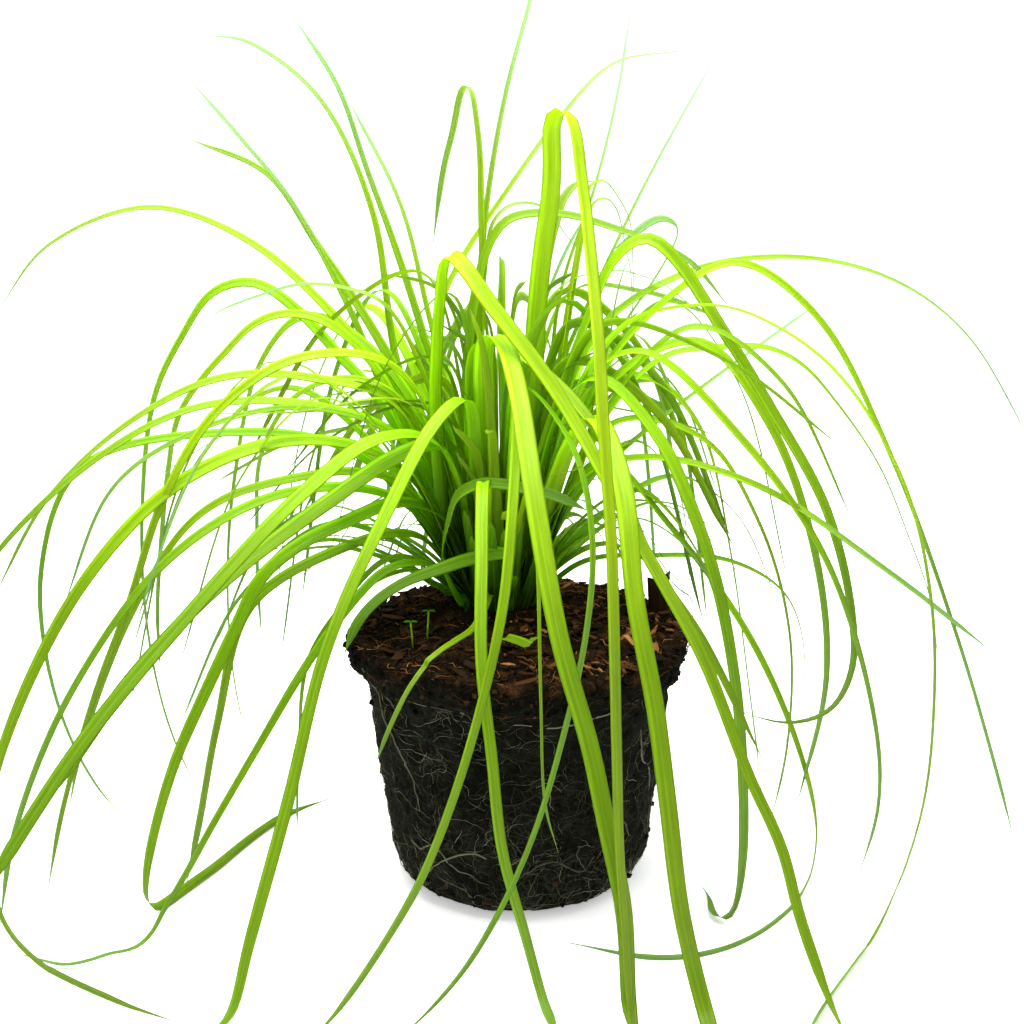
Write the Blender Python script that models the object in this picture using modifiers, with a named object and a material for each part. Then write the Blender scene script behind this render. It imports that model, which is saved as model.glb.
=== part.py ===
"""Carex sedge lifted out of its pot: a clump of long keeled blades on a pot-shaped ball of rooted soil.

Frame: origin at the middle of the ball's flat base, +Z up, front toward -Y. The tables hold millimetres.
"""

import math
import random

import bmesh
import bpy
from mathutils import Matrix, Vector

MM = 0.001
SEED = 1420

# Root ball, moulded by a 14 cm pot: radius and height up the wall, round the lip and over the soil
BALL_PROFILE = (
    (34.0, 0.0),
    (44.0, 0.6),
    (50.5, 6.0),
    (53.5, 14.0),
    (55.5, 30.0),
    (57.5, 47.0),
    (59.5, 64.0),
    (61.5, 80.0),
    (63.5, 93.0),
    (69.0, 96.0),
    (70.5, 102.0),
    (67.5, 108.0),
    (61.0, 107.0),
    (50.0, 108.5),
    (36.0, 111.0),
    (18.0, 113.0),
)
BALL_FACETS = 48
BALL_ROUGHNESS = 0.9
LIP_ROUGHNESS = 1.7
LIP_INNER_RADIUS = 64.0
LIP_TOP = 108.0
SHOULDER_HEIGHT = 95.0
BASE_EDGE = 1.0
SOIL_TOP = 113.5
SOIL_EDGE_DROP = 6.0
SOIL_RADIUS = 61.0

# Crown: where the blades leave the soil, a little behind and left of the ball's axis
CROWN_X = -8.0
CROWN_Y = 18.0
CORE_RADIUS = 19.5
CORE_BOTTOM = 97.0
CORE_SHOULDER = 118.0
CORE_TOP = 160.0
CORE_TOP_RADIUS = 9.0
CORE_FACETS = 24
SOCKET_GAP = 0.3

# Blades
FOOT_HEIGHT = 104.0
FOOT_RADIUS = 13.0
KEEL_DEPTH = 1.3
TIP_KEEL_DEPTH = 0.8
BALL_CLEARANCE = 5.0
FLOOR_CLEARANCE = 0.5
CURVE_STEPS = 72
CHORD_TOLERANCE = 2.3
LEAST_STEP = 3.0
LONGEST_STEP = 16
JITTER = 0.7
FORWARD_FOOT = 10.4
LOWEST_TIP = 1.1

# Blades measured one by one: width, share of it kept to the end, lean of the face to the front in degrees,
# and stations as turn about the crown in degrees (0 right, 90 back), reach from the crown's axis and height
ARCHING_BLADES = (
    # Far left, rising high, thin tips
    (4.8, 0.3, 50, ((140, 30, 160), (140, 56, 205), (140, 71, 272), (140, 99, 315), (140, 140, 336),
                    (140, 167, 338))),
    (5.6, 0.3, 50, ((135, 28, 170), (135, 46, 220), (135, 65, 262), (135, 79, 286), (135, 96, 320),
                    (135, 123, 346))),
    (4.6, 0.3, 50, ((120, 34, 175), (120, 60, 225), (120, 84, 268), (120, 134, 309))),
    (7.0, 0.3, 50, ((150, 34, 180), (150, 62, 224), (150, 90, 257), (150, 114, 284), (150, 154, 297))),
    (5.0, 0.3, 45, ((152, 50, 185), (152, 73, 234), (152, 101, 277), (152, 120, 297), (152, 148, 322))),
    (6.2, 0.3, 45, ((160, 44, 197), (160, 71, 229), (160, 111, 259), (160, 158, 271), (160, 208, 251),
                    (160, 236, 220))),
    # Left arches that fall behind the front ones
    (6.0, 0.45, 50, ((176, 51, 212), (176, 72, 233), (176, 88, 236), (176, 101, 231), (176, 113, 219),
                     (176, 124, 207), (176, 133, 191), (176, 139, 166), (176, 144, 137), (176, 146, 106),
                     (176, 146, 74))),
    (4.4, 0.3, 40, ((172, 29, 205), (172, 47, 239), (172, 65, 246), (172, 83, 246), (172, 100, 241),
                    (172, 117, 234), (172, 125, 230))),
    (6.2, 0.4, 50, ((170, 48, 194), (170, 67, 216), (170, 84, 234), (170, 103, 246), (170, 121, 241),
                    (170, 134, 224), (170, 148, 196), (170, 156, 140), (170, 155, 90), (170, 147, 46),
                    (170, 132, 6))),
    (6.0, 0.4, 50, ((160, 44, 205), (160, 86, 230), (160, 108, 209), (160, 121, 158), (160, 127, 110),
                    (160, 126, 66), (160, 120, 28))),
    (4.6, 0.4, 50, ((182, 41, 201), (182, 63, 210), (182, 82, 204), (182, 93, 191), (182, 99, 174),
                    (182, 101, 152), (182, 101, 126), (182, 100, 96))),
    (6.2, 0.4, 45, ((200, 43, 217), (200, 84, 225), (200, 118, 206), (200, 140, 174), (200, 157, 130),
                    (200, 172, 95), (200, 187, 46), (200, 196, 6))),
    (6.6, 0.4, 35, ((185, 41, 198), (185, 75, 211), (185, 112, 212), (185, 148, 196), (185, 185, 163),
                    (185, 210, 122))),
    (6.8, 0.4, 35, ((190, 40, 185), (190, 72, 201), (190, 120, 203), (190, 159, 187), (190, 204, 148),
                    (190, 226, 112))),
    (5.4, 0.3, 40, ((195, 42, 186), (195, 87, 203), (195, 132, 194), (195, 160, 174), (195, 182, 126))),
    (5.6, 0.4, 50, ((180, 60, 178), (180, 124, 186), (180, 174, 172), (180, 192, 128), (180, 189, 70),
                    (180, 172, 28), (180, 151, 3))),
    (7.2, 0.5, 50, ((200, 43, 176), (200, 88, 192), (200, 134, 179), (200, 176, 140), (200, 211, 72),
                    (201, 218, 40), (205, 218, 13), (212, 211, 3), (223, 203, 2), (233, 197, 2))),
    (6.0, 0.4, 45, ((190, 44, 168), (190, 92, 170), (190, 124, 158), (190, 151, 121), (190, 175, 62),
                    (190, 184, 30))),
    (6.0, 0.4, 45, ((205, 45, 163), (205, 95, 172), (205, 141, 152), (205, 183, 105), (205, 210, 50),
                    (205, 219, 6))),
    # Wide pale blades to the front left
    (9.2, 0.7, 20, ((215, 30, 186), (215, 58, 193), (215, 95, 176), (215, 145, 137), (215, 193, 95),
                    (215, 240, 38))),
    (10.0, 0.7, 15, ((210, 26, 184), (210, 46, 184), (210, 78, 168), (210, 124, 142), (210, 163, 111),
                     (210, 205, 62))),
    (7.4, 0.5, 40, ((205, 24, 152), (205, 45, 163), (205, 67, 158), (205, 88, 150), (205, 106, 138),
                    (205, 117, 120), (205, 130, 95), (205, 144, 67), (205, 153, 40), (205, 158, 19),
                    (205, 158, 8), (204, 155, 3), (203, 149, 2), (200, 141, 2), (196, 132, 2),
                    (190, 122, 2), (181, 113, 2), (171, 106, 2), (160, 100, 2), (148, 92, 2))),
    (6.2, 0.6, 35, ((200, 36, 146), (200, 74, 142), (200, 108, 124), (200, 123, 76), (200, 132, 32),
                    (200, 138, 5))),
    (5.4, 0.4, 25, ((215, 28, 132), (215, 54, 138), (215, 78, 121), (215, 97, 101), (215, 116, 76),
                    (215, 138, 47), (215, 152, 27), (214, 160, 15), (214, 167, 6), (214, 175, 2),
                    (214, 184, 2), (214, 194, 2), (213, 203, 2), (211, 211, 2), (208, 217, 2))),
    (8.6, 0.6, 10, ((236, 18, 176), (236, 25, 206), (236, 44, 201), (236, 80, 170), (236, 116, 127),
                    (236, 142, 74), (236, 169, 24), (237, 183, 4), (238, 198, 2), (239, 214, 2))),
    (3.6, 0.4, 30, ((207, 36, 132), (207, 62, 128), (207, 86, 104), (207, 92, 60), (207, 94, 26))),
    # Right side
    (7.0, 0.6, 45, ((350, 24, 200), (350, 38, 240), (350, 48, 262), (350, 59, 270), (350, 70, 263),
                    (350, 90, 235), (350, 111, 201), (350, 134, 161), (350, 146, 118), (350, 148, 92),
                    (350, 139, 74), (350, 122, 67), (350, 102, 70))),
    (6.0, 0.6, 45, ((355, 42, 205), (355, 81, 227), (355, 110, 194), (355, 130, 142), (355, 138, 84),
                    (355, 127, 24))),
    (5.0, 0.5, 35, ((340, 36, 210), (340, 60, 226), (340, 102, 195), (340, 138, 147), (340, 161, 84),
                    (340, 164, 46), (340, 156, 6))),
    (6.4, 0.75, 30, ((326, 30, 200), (326, 48, 217), (326, 76, 195), (326, 91, 169), (326, 104, 138),
                     (326, 114, 98), (326, 118, 62), (326, 118, 26), (324, 119, 7), (321, 118, 2),
                     (322, 110, 2), (329, 102, 2), (334, 95, 2))),
    (5.4, 0.4, 35, ((340, 36, 170), (340, 64, 182), (340, 111, 174), (340, 164, 144), (340, 206, 116))),
    (4.0, 0.6, 35, ((20, 40, 222), (20, 80, 248), (20, 130, 252), (20, 178, 239), (20, 217, 212),
                    (20, 256, 158))),
    (4.6, 0.5, 45, ((355, 40, 208), (355, 68, 244), (355, 96, 260), (355, 128, 238), (355, 160, 180),
                    (355, 190, 104), (355, 210, 46), (355, 222, 5))),
    (5.4, 0.45, 20, ((5, 46, 195), (5, 68, 217), (5, 89, 221), (5, 110, 221), (5, 125, 213), (5, 142, 195),
                     (5, 160, 168), (5, 174, 138), (5, 184, 109), (5, 190, 80))),
    (6.2, 0.8, 25, ((330, 40, 215), (330, 60, 240), (330, 84, 249), (330, 107, 250), (330, 145, 232),
                    (330, 175, 191), (330, 190, 145), (330, 193, 98), (330, 190, 64), (330, 184, 34),
                    (330, 178, 14), (328, 175, 4), (321, 178, 2), (311, 188, 2), (304, 202, 2),
                    (299, 212, 2))),
    (4.8, 0.3, 20, ((30, 30, 150), (30, 60, 172), (30, 100, 194), (30, 163, 225))),
    (3.2, 0.3, 25, ((40, 30, 200), (40, 55, 243), (40, 84, 286), (40, 119, 330))),
    (5.6, 0.6, 50, ((40, 34, 190), (40, 66, 222), (40, 92, 248), (40, 99, 260), (40, 88, 266),
                    (40, 62, 256))),
    (5.2, 0.5, 35, ((355, 41, 176), (355, 70, 148), (355, 104, 102), (355, 127, 52), (355, 136, 16),
                    (348, 134, 3), (330, 134, 2), (312, 132, 2), (300, 122, 2), (286, 98, 2))),
    (4.4, 0.5, 35, ((0, 46, 190), (0, 83, 184), (0, 108, 148), (0, 122, 100), (0, 123, 50), (0, 115, 4))),
    (5.4, 0.5, 40, ((20, 40, 200), (20, 66, 205), (20, 90, 182), (20, 106, 122), (20, 117, 60),
                    (20, 126, 5))),
    (4.4, 0.3, 25, ((30, 34, 150), (30, 66, 175), (30, 88, 150), (30, 97, 98))),
    (4.2, 0.3, 30, ((10, 34, 128), (10, 62, 130), (10, 100, 126), (10, 126, 108), (10, 134, 72),
                    (10, 123, 30))),
)

# Blades that come forward over the ball or stand up behind it: width, kept share, lean and points in the
# part's frame
FORWARD_BLADES = (
    (6.2, 0.6, 6, ((-14, 4, 135), (-14, -12, 172), (-14, -36, 178), (-14, -62, 157), (-14, -88, 123),
                   (-11, -100, 92), (-6, -109, 57), (2, -117, 24), (9, -126, 4), (12, -143, 2),
                   (15, -160, 2))),
    (6.6, 0.6, 80, ((-27, 2, 126), (-31, 0, 140), (-29, -4, 155), (-26, -8, 166), (-21, -13, 172),
                    (-15, -18, 175), (-6, -24, 177), (4, -30, 177), (14, -36, 176), (26, -43, 172))),
    (9.4, 0.7, 6, ((-10, 10, 134), (-13, 5, 187), (-13, -8, 232), (-7, -24, 234), (-1, -44, 222),
                   (6, -84, 188), (15, -110, 142), (25, -121, 104), (32, -128, 76), (38, -132, 44),
                   (41, -136, 5), (42, -152, 2), (43, -166, 2))),
    (6.0, 0.5, 6, ((-4, 8, 135), (-3, -4, 182), (-1, -24, 211), (-2, -66, 184), (-6, -92, 148),
                   (-15, -105, 110), (-26, -113, 78), (-38, -120, 50), (-55, -127, 21), (-70, -134, 3),
                   (-77, -152, 2))),
    (2.6, 0.4, 6, ((-2, 6, 136), (3, -26, 174), (7, -62, 156), (8, -92, 112), (9, -104, 74),
                   (14, -108, 55))),
    (7.2, 0.5, 6, ((-2, 15, 134), (-3, 10, 186), (1, -2, 212), (20, -38, 196), (27, -66, 168),
                   (24, -86, 136), (15, -103, 100), (6, -113, 68), (-7, -122, 40), (-22, -128, 17),
                   (-36, -135, 3), (-44, -152, 2))),
    (9.0, 0.55, 6, ((5, 18, 131), (4, 16, 171), (6, 14, 202), (7, 11, 236), (10, 9, 265), (12, 6, 287),
                    (13, 2, 304), (13, 0, 315), (14, -4, 321), (17, -9, 323), (20, -14, 320),
                    (22, -18, 311), (23, -23, 302), (25, -33, 290), (29, -76, 247), (30, -98, 215),
                    (32, -113, 181), (33, -123, 147), (35, -130, 107), (36, -135, 70), (39, -138, 35),
                    (41, -142, 6), (41, -158, 2), (41, -172, 2))),
    (9.0, 0.7, 6, ((6, 12, 134), (20, -8, 188), (30, -34, 206), (38, -68, 190), (43, -97, 152),
                   (49, -112, 118), (55, -122, 82), (60, -130, 44), (68, -137, 6), (72, -154, 2),
                   (75, -170, 2))),
    (8.4, 0.5, 10, ((-28, 12, 131), (-32, 10, 169), (-33, 8, 206), (-32, 4, 242), (-28, -3, 265),
                    (-22, -12, 263), (-12, -22, 250), (14, -40, 220), (48, -75, 164), (69, -91, 129),
                    (86, -105, 87), (98, -113, 60), (105, -121, 36), (117, -135, 4), (121, -153, 2))),
    (7.4, 0.5, 14, ((-16, 18, 132), (-20, 12, 196), (-16, 4, 229), (4, -14, 224), (30, -36, 202),
                    (51, -63, 156), (70, -74, 130), (93, -82, 84))),
    (3.6, 0.5, 10, ((-12, 2, 122), (-15, -16, 121), (-19, -34, 120), (-25, -48, 120), (-33, -62, 119),
                    (-42, -72, 110), (-50, -78, 96), (-56, -80, 80))),
    (5.0, 0.3, 6, ((-12, 18, 132), (-17, 20, 200), (-14, 24, 268), (-6, 34, 321), (4, 48, 359),
                   (9, 57, 376))),
    (5.8, 0.4, 6, ((-12, 22, 130), (-18, 21, 192), (-16, 21, 229), (-15, 21, 262), (-15, 21, 283),
                   (-16, 22, 301), (-17, 24, 316), (-19, 26, 325), (-21, 29, 328), (-23, 32, 325),
                   (-27, 36, 309), (-30, 38, 294), (-33, 41, 278), (-36, 44, 261))),
    (3.0, 0.3, 6, ((8, 26, 128), (17, 45, 237), (31, 60, 281), (42, 80, 318), (47, 100, 352))),
    (5.4, 0.4, 6, ((-21, 20, 131), (-33, 20, 200), (-32, 22, 240), (-23, 26, 258), (-8, 32, 281),
                   (17, 42, 314), (39, 52, 334), (65, 63, 338))),
    (6.6, 0.5, 45, ((-20, 20, 131), (-22, 19, 200), (-20, 18, 232), (-17, 17, 251), (-12, 17, 266),
                    (-5, 18, 275), (6, 20, 278), (22, 24, 276), (38, 26, 271), (54, 28, 265), (70, 30, 255),
                    (86, 32, 238))),
    (5.2, 0.3, 10, ((2, 24, 131), (2, 30, 190), (8, 38, 226), (17, 42, 254), (28, 46, 274))),
    (8.0, 0.5, 55, ((-4, 2, 128), (-6, -4, 141), (-18, -10, 142), (-32, -18, 139), (-46, -26, 136),
                    (-57, -33, 131), (-65, -39, 123), (-70, -43, 113))),
    (3.4, 0.5, 12, ((-10, 22, 131), (-16, 22, 190), (-16, 22, 229), (-14, 24, 258), (-11, 25, 270),
                    (-8, 26, 276), (-3, 28, 280), (2, 30, 280), (7, 32, 279), (11, 34, 276), (16, 36, 271),
                    (20, 38, 265), (26, 40, 258))),
    (3.6, 0.6, 12, ((4, 20, 131), (11, 18, 167), (15, 24, 203), (21, 30, 244), (26, 34, 276), (29, 36, 286),
                    (33, 38, 289), (37, 39, 286), (41, 40, 281), (45, 40, 272), (47, 40, 254),
                    (47, 40, 232), (45, 40, 220), (40, 40, 202))),
    (3.2, 0.5, 12, ((4, 24, 131), (12, 22, 170), (18, 30, 210), (24, 38, 251), (28, 41, 271), (31, 43, 278),
                    (34, 44, 280), (38, 45, 278), (41, 46, 272), (44, 47, 262), (47, 48, 245),
                    (46, 48, 223))),
    (4.2, 0.5, 12, ((-2, 20, 131), (2, 22, 200), (7, 26, 228), (12, 30, 239), (18, 33, 245), (24, 36, 249),
                    (32, 38, 250), (42, 40, 250), (51, 40, 248), (59, 38, 245), (66, 36, 241),
                    (72, 34, 236), (78, 32, 229))),
    (6.6, 0.6, 12, ((2, 28, 131), (6, 34, 197), (9, 40, 229), (12, 45, 256), (15, 48, 270), (19, 51, 279),
                    (25, 54, 284), (32, 57, 285))),
    (5.0, 0.5, 12, ((2, 14, 131), (25, 6, 174), (31, 8, 203), (36, 10, 226), (39, 12, 242), (41, 14, 252),
                    (44, 16, 260))),
)

# Blades the photo only shows as a mass: kind, how many, how far their faces turn to the front, and ranges of
# apex reach, apex height, tip reach, tip height and width; an upright's tip height is counted from its apex
GROWN_BLADES = (
    ("crown", 16, 0.5, (22, 48), (196, 258), (72, 150), (110, 232), (7.4, 10.0)),
    ("upright", 11, 0.5, (8, 30), (186, 248), (22, 60), (-6, 22), (7.4, 10.0)),
    ("arched", 10, 0.0, (62, 96), (188, 240), (112, 168), (60, 170), (5.0, 7.6)),
    ("spreading", 11, 0.0, (52, 84), (138, 172), (92, 142), (74, 140), (4.6, 6.8)),
)
GROWN_KEEP = 0.3
BACK_SPREAD = 0.66
GOLDEN_TURN = 137.508

# Bark on the soil and roots on the wall; the raised chip as distance, turn, width, thickness and height
CHIP_COUNT = 48
CHIP_LENGTH = (5.0, 12.0)
CHIP_WIDTH = (2.6, 4.6)
CHIP_THICKNESS = 2.4
CHIP_NARROW_END = 0.7
CHIP_TILT = 0.16
CHIP_FIELD = 62.0
CHIP_ROOM_AT_CROWN = 27.0
CHIP_ROOM_AT_SEEDLING = 6.5
RAISED_CHIP = (62.5, 20.0, 10.0, 4.6, 34.0)
ROOT_RADIUS = 0.85
ROOT_RISE = 0.25
ROOT_END_SINK = 2.4
# Thick roots seen on the wall: points as turn about the ball in degrees and height
WALL_ROOTS = (
    ((205, 101), (206, 88), (209, 80), (216, 70), (223, 56), (226, 44)),
    ((214, 98), (216, 88), (221, 84)),
    ((268, 90), (284, 88), (300, 90), (318, 92)),
    ((212, 34), (222, 26), (232, 30), (241, 22), (250, 19)),
    ((224, 14), (236, 24), (250, 30), (264, 26), (276, 32)),
    ((262, 12), (272, 22), (284, 27), (298, 20), (306, 28)),
    ((300, 50), (308, 40), (318, 38), (326, 26)),
    ((322, 78), (328, 62), (334, 56), (338, 40)),
    ((20, 90), (28, 70), (40, 62), (46, 44)),
    ((60, 28), (74, 36), (86, 26), (102, 30)),
    ((98, 88), (108, 72), (122, 70), (130, 52)),
    ((140, 30), (154, 22), (166, 34), (180, 26)),
)

# Two weed seedlings in the soil at the front left: place, height, lean
SEEDLINGS = (
    ("seedling_left", -43.0, -27.0, 10.5, -0.8),
    ("seedling_right", -37.5, -21.0, 13.0, 0.8),
)
SEEDLING_FOOT = 5.0
SEEDLING_STEM_RADIUS = 0.5
SEEDLING_LEAF = (3.0, 1.9, 0.8)

MATERIALS = {
    "leaf": ((0.28, 0.58, 0.03, 1.0), 0.45),
    "soil": ((0.020, 0.014, 0.010, 1.0), 0.95),
    "weed": ((0.10, 0.34, 0.04, 1.0), 0.6),
}


def clear_scene():
    for obj in list(bpy.data.objects):
        bpy.data.objects.remove(obj, do_unlink=True)


def new_collection(name, hidden=False):
    made = bpy.data.collections.new(name)
    made.hide_render = hidden
    bpy.context.scene.collection.children.link(made)
    return made


def material(name):
    color, roughness = MATERIALS[name]
    made = bpy.data.materials.new(name)
    made.use_nodes = True
    shader = made.node_tree.nodes["Principled BSDF"]
    shader.inputs["Base Color"].default_value = color
    shader.inputs["Roughness"].default_value = roughness
    return made


def add_object(name, mesh, collection):
    obj = bpy.data.objects.new(name, mesh)
    collection.objects.link(obj)
    return obj


def from_bmesh(name, shape, collection):
    mesh = bpy.data.meshes.new(name)
    shape.to_mesh(mesh)
    shape.free()
    return add_object(name, mesh, collection)


def cylinder(name, centre, radius, bottom, top, facets, collection):
    """An upright cylinder about a point on the plan."""
    shape = bmesh.new()
    place = Matrix.Translation(Vector((centre[0], centre[1], (bottom + top) / 2)) * MM)
    bmesh.ops.create_cone(shape, cap_ends=True, segments=facets, radius1=radius * MM, radius2=radius * MM,
                          depth=(top - bottom) * MM, matrix=place)
    return from_bmesh(name, shape, collection)


def turned(name, outline, facets, centre, collection):
    """A turned body: an outline at +X, from the top of the axis to the bottom, carried round by a Screw."""
    mesh = bpy.data.meshes.new(name + "_outline")
    points = [Vector((radius, 0.0, height)) * MM for radius, height in outline]
    mesh.from_pydata(points, [(i, i + 1) for i in range(len(points) - 1)], [])
    guide = add_object(name + "_outline", mesh, collection)
    screw = guide.modifiers.new("turn", "SCREW")
    screw.steps = facets
    screw.render_steps = facets
    screw.use_merge_vertices = True
    screw.merge_threshold = 0.0001
    bpy.context.view_layer.update()
    swept = bpy.data.meshes.new_from_object(guide.evaluated_get(bpy.context.evaluated_depsgraph_get()))
    bpy.data.objects.remove(guide, do_unlink=True)
    shape = bmesh.new()
    shape.from_mesh(swept)
    bmesh.ops.translate(shape, verts=shape.verts, vec=Vector((centre[0], centre[1], 0.0)) * MM)
    bmesh.ops.recalc_face_normals(shape, faces=shape.faces)
    return from_bmesh(name, shape, collection)


def tube(name, points, radius, resolution, collection):
    """A round bar along the points: a bevelled curve with filled ends, made a mesh and its caps welded on."""
    curve = bpy.data.curves.new(name, "CURVE")
    curve.dimensions = "3D"
    curve.bevel_depth = radius * MM
    curve.bevel_resolution = resolution
    curve.use_fill_caps = True
    spline = curve.splines.new("POLY")
    spline.points.add(len(points) - 1)
    for knot, point in zip(spline.points, points):
        knot.co = (*(point * MM), 1.0)
    guide = add_object(name + "_path", curve, collection)
    bpy.context.view_layer.update()
    mesh = bpy.data.meshes.new_from_object(guide.evaluated_get(bpy.context.evaluated_depsgraph_get()))
    bpy.data.objects.remove(guide, do_unlink=True)
    shape = bmesh.new()
    shape.from_mesh(mesh)
    bmesh.ops.remove_doubles(shape, verts=shape.verts, dist=0.01 * MM)
    bmesh.ops.recalc_face_normals(shape, faces=shape.faces)
    return from_bmesh(name, shape, collection)


def loft(name, sections, point, collection):
    """Rings of the same count joined in order, capped at the start and closed to a point at the end."""
    size = len(sections[0])
    vertices = [v for ring in sections for v in ring] + [point]
    faces = [tuple(reversed(range(size)))]
    for i in range(len(sections) - 1):
        for j in range(size):
            k = (j + 1) % size
            a, b = i * size + j, i * size + k
            faces.append((a, b, b + size))
            faces.append((a, b + size, a + size))
    last = (len(sections) - 1) * size
    faces.extend((last + j, last + (j + 1) % size, len(vertices) - 1) for j in range(size))
    mesh = bpy.data.meshes.new(name)
    mesh.from_pydata([Vector(v) * MM for v in vertices], [], faces)
    shape = bmesh.new()
    shape.from_mesh(mesh)
    bmesh.ops.recalc_face_normals(shape, faces=shape.faces)
    return from_bmesh(name, shape, collection)


def apply_boolean(obj, operation, operand, solver):
    """One Boolean with an object or a whole collection, applied, and what it used taken out."""
    modifier = obj.modifiers.new(operation.lower(), "BOOLEAN")
    modifier.operation = operation
    modifier.solver = solver
    if isinstance(operand, bpy.types.Collection):
        modifier.operand_type = "COLLECTION"
        modifier.collection = operand
        used = list(operand.objects)
    else:
        modifier.object = operand
        used = [operand]
    for item in used:
        item.hide_render = True
        item.display_type = "WIRE"
    bpy.context.view_layer.update()
    joined = bpy.data.meshes.new_from_object(obj.evaluated_get(bpy.context.evaluated_depsgraph_get()))
    obj.modifiers.clear()
    obj.data = joined
    for item in used:
        bpy.data.objects.remove(item, do_unlink=True)


def finish(obj, made, smooth_angle=None):
    """Gives the finished body its own material, and its shading."""
    obj.data.materials.clear()
    obj.data.materials.append(made)
    if smooth_angle is not None:
        obj.data.shade_smooth()
        obj.data.set_sharp_from_angle(angle=math.radians(smooth_angle))


def keep_outer_shell(obj):
    """Drops the small shells that crossing blades close off inside the crown, and leaves the outer body."""
    shape = bmesh.new()
    shape.from_mesh(obj.data)
    left = set(shape.verts)
    shells = []
    while left:
        stack = [left.pop()]
        shell = set(stack)
        while stack:
            for edge in stack.pop().link_edges:
                for vertex in edge.verts:
                    if vertex in left:
                        left.remove(vertex)
                        shell.add(vertex)
                        stack.append(vertex)
        shells.append(shell)
    shells.sort(key=len)
    for shell in shells[:-1]:
        bmesh.ops.delete(shape, geom=list(shell), context="VERTS")
    shape.to_mesh(obj.data)
    shape.free()


def smooth_curve(points, steps):
    """A centripetal Catmull-Rom curve through the points, at even steps along it."""
    ends = [points[0] * 2 - points[1]] + points + [points[-1] * 2 - points[-2]]
    fine = []
    for i in range(1, len(ends) - 2):
        p0, p1, p2, p3 = ends[i - 1 : i + 3]
        t1 = max((p1 - p0).length, 1e-6) ** 0.5
        t2 = t1 + max((p2 - p1).length, 1e-6) ** 0.5
        t3 = t2 + max((p3 - p2).length, 1e-6) ** 0.5
        for k in range(12):
            t = t1 + (t2 - t1) * k / 12
            a1 = p0 * ((t1 - t) / t1) + p1 * (t / t1)
            a2 = p1 * ((t2 - t) / (t2 - t1)) + p2 * ((t - t1) / (t2 - t1))
            a3 = p2 * ((t3 - t) / (t3 - t2)) + p3 * ((t - t2) / (t3 - t2))
            b1 = a1 * ((t2 - t) / t2) + a2 * (t / t2)
            b2 = a2 * ((t3 - t) / (t3 - t1)) + a3 * ((t - t1) / (t3 - t1))
            fine.append(b1 * ((t2 - t) / (t2 - t1)) + b2 * ((t - t1) / (t2 - t1)))
    fine.append(points[-1].copy())
    lengths = [0.0]
    for a, b in zip(fine, fine[1:]):
        lengths.append(lengths[-1] + (b - a).length)
    even = []
    j = 0
    for k in range(steps + 1):
        want = lengths[-1] * k / steps
        while j < len(fine) - 2 and lengths[j + 1] < want:
            j += 1
        share = (want - lengths[j]) / max(lengths[j + 1] - lengths[j], 1e-9)
        even.append(fine[j].lerp(fine[j + 1], share))
    return even


def eased(curve):
    """The curve with its corners rounded and its ends kept."""
    return [curve[0]] + [(a + b * 2 + c) / 4 for a, b, c in zip(curve, curve[1:], curve[2:])] + [curve[-1]]


def kept_points(points, tolerance):
    """Which points a run of straight chords needs to stay this close to the curve."""
    keep = {0, len(points) - 1}
    spans = [(0, len(points) - 1)]
    while spans:
        a, b = spans.pop()
        chord = points[b] - points[a]
        worst, place = 0.0, None
        for i in range(a + 1, b):
            offset = points[i] - points[a]
            share = min(max(offset.dot(chord) / max(chord.length_squared, 1e-9), 0.0), 1.0)
            away = (offset - chord * share).length
            if away > worst:
                worst, place = away, i
        if worst > tolerance:
            keep.add(place)
            spans += [(a, place), (place, b)]
    return sorted(keep)


def spaced(curve, kept, least):
    """The kept points without those that crowd the one before, and with more where they lie far apart."""
    chosen = [kept[0]]
    for i in kept[1:]:
        last = i == kept[-1]
        parts = math.ceil((i - chosen[-1]) / LONGEST_STEP)
        chosen += [chosen[-1] + (i - chosen[-1]) * k // parts for k in range(1, parts)]
        if last or min((curve[i] - curve[chosen[-1]]).length, (curve[-1] - curve[i]).length) >= least:
            chosen.append(i)
    return chosen


def wall_radius(height):
    wall = [(radius, z) for radius, z in BALL_PROFILE if z <= LIP_TOP][:12]
    for (r0, z0), (r1, z1) in zip(wall, wall[1:]):
        if z0 <= height <= z1:
            return r0 + (r1 - r0) * (height - z0) / (z1 - z0)
    return wall[-1][0]


def clear_of_ball(point):
    """The point, moved up off the soil or out from the wall where it comes too near the ball."""
    radius = math.hypot(point.x, point.y)
    from_crown = math.hypot(point.x - CROWN_X, point.y - CROWN_Y)
    if from_crown < CORE_RADIUS - 2.0 or point.z > SOIL_TOP + BALL_CLEARANCE:
        return point
    room = wall_radius(max(min(point.z, 102.0), 0.0)) + BALL_CLEARANCE
    if radius >= room:
        return point
    if point.z > 100.0 and radius < 66.0:
        return Vector((point.x, point.y, SOIL_TOP + BALL_CLEARANCE))
    return Vector((point.x * room / radius, point.y * room / radius, point.z))


def breadth(along, keep):
    """A blade's width along it: widest just above the crown, then thinning toward the kept share."""
    run = max(along - 0.12, 0.0) / 0.88
    return min(0.72 + 2.0 * along, 1.0) * (keep + (1.0 - keep) * (1.0 - run) ** 1.6)


def heading_at(curve, i):
    return (curve[min(i + 1, len(curve) - 1)] - curve[max(i - 1, 0)]).normalized()


def carried_normals(curve, side):
    """The blade's upper side at every point of its curve, carried along it without twisting."""
    normals = []
    for i in range(len(curve)):
        ahead = heading_at(curve, i)
        normal = side.cross(ahead) if not normals else normals[-1] - ahead * normals[-1].dot(ahead)
        normals.append(normal.normalized())
    if max(zip(curve, normals), key=lambda pair: pair[0].z)[1].z < 0.0:
        normals = [-normal for normal in normals]
    return normals


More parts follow.
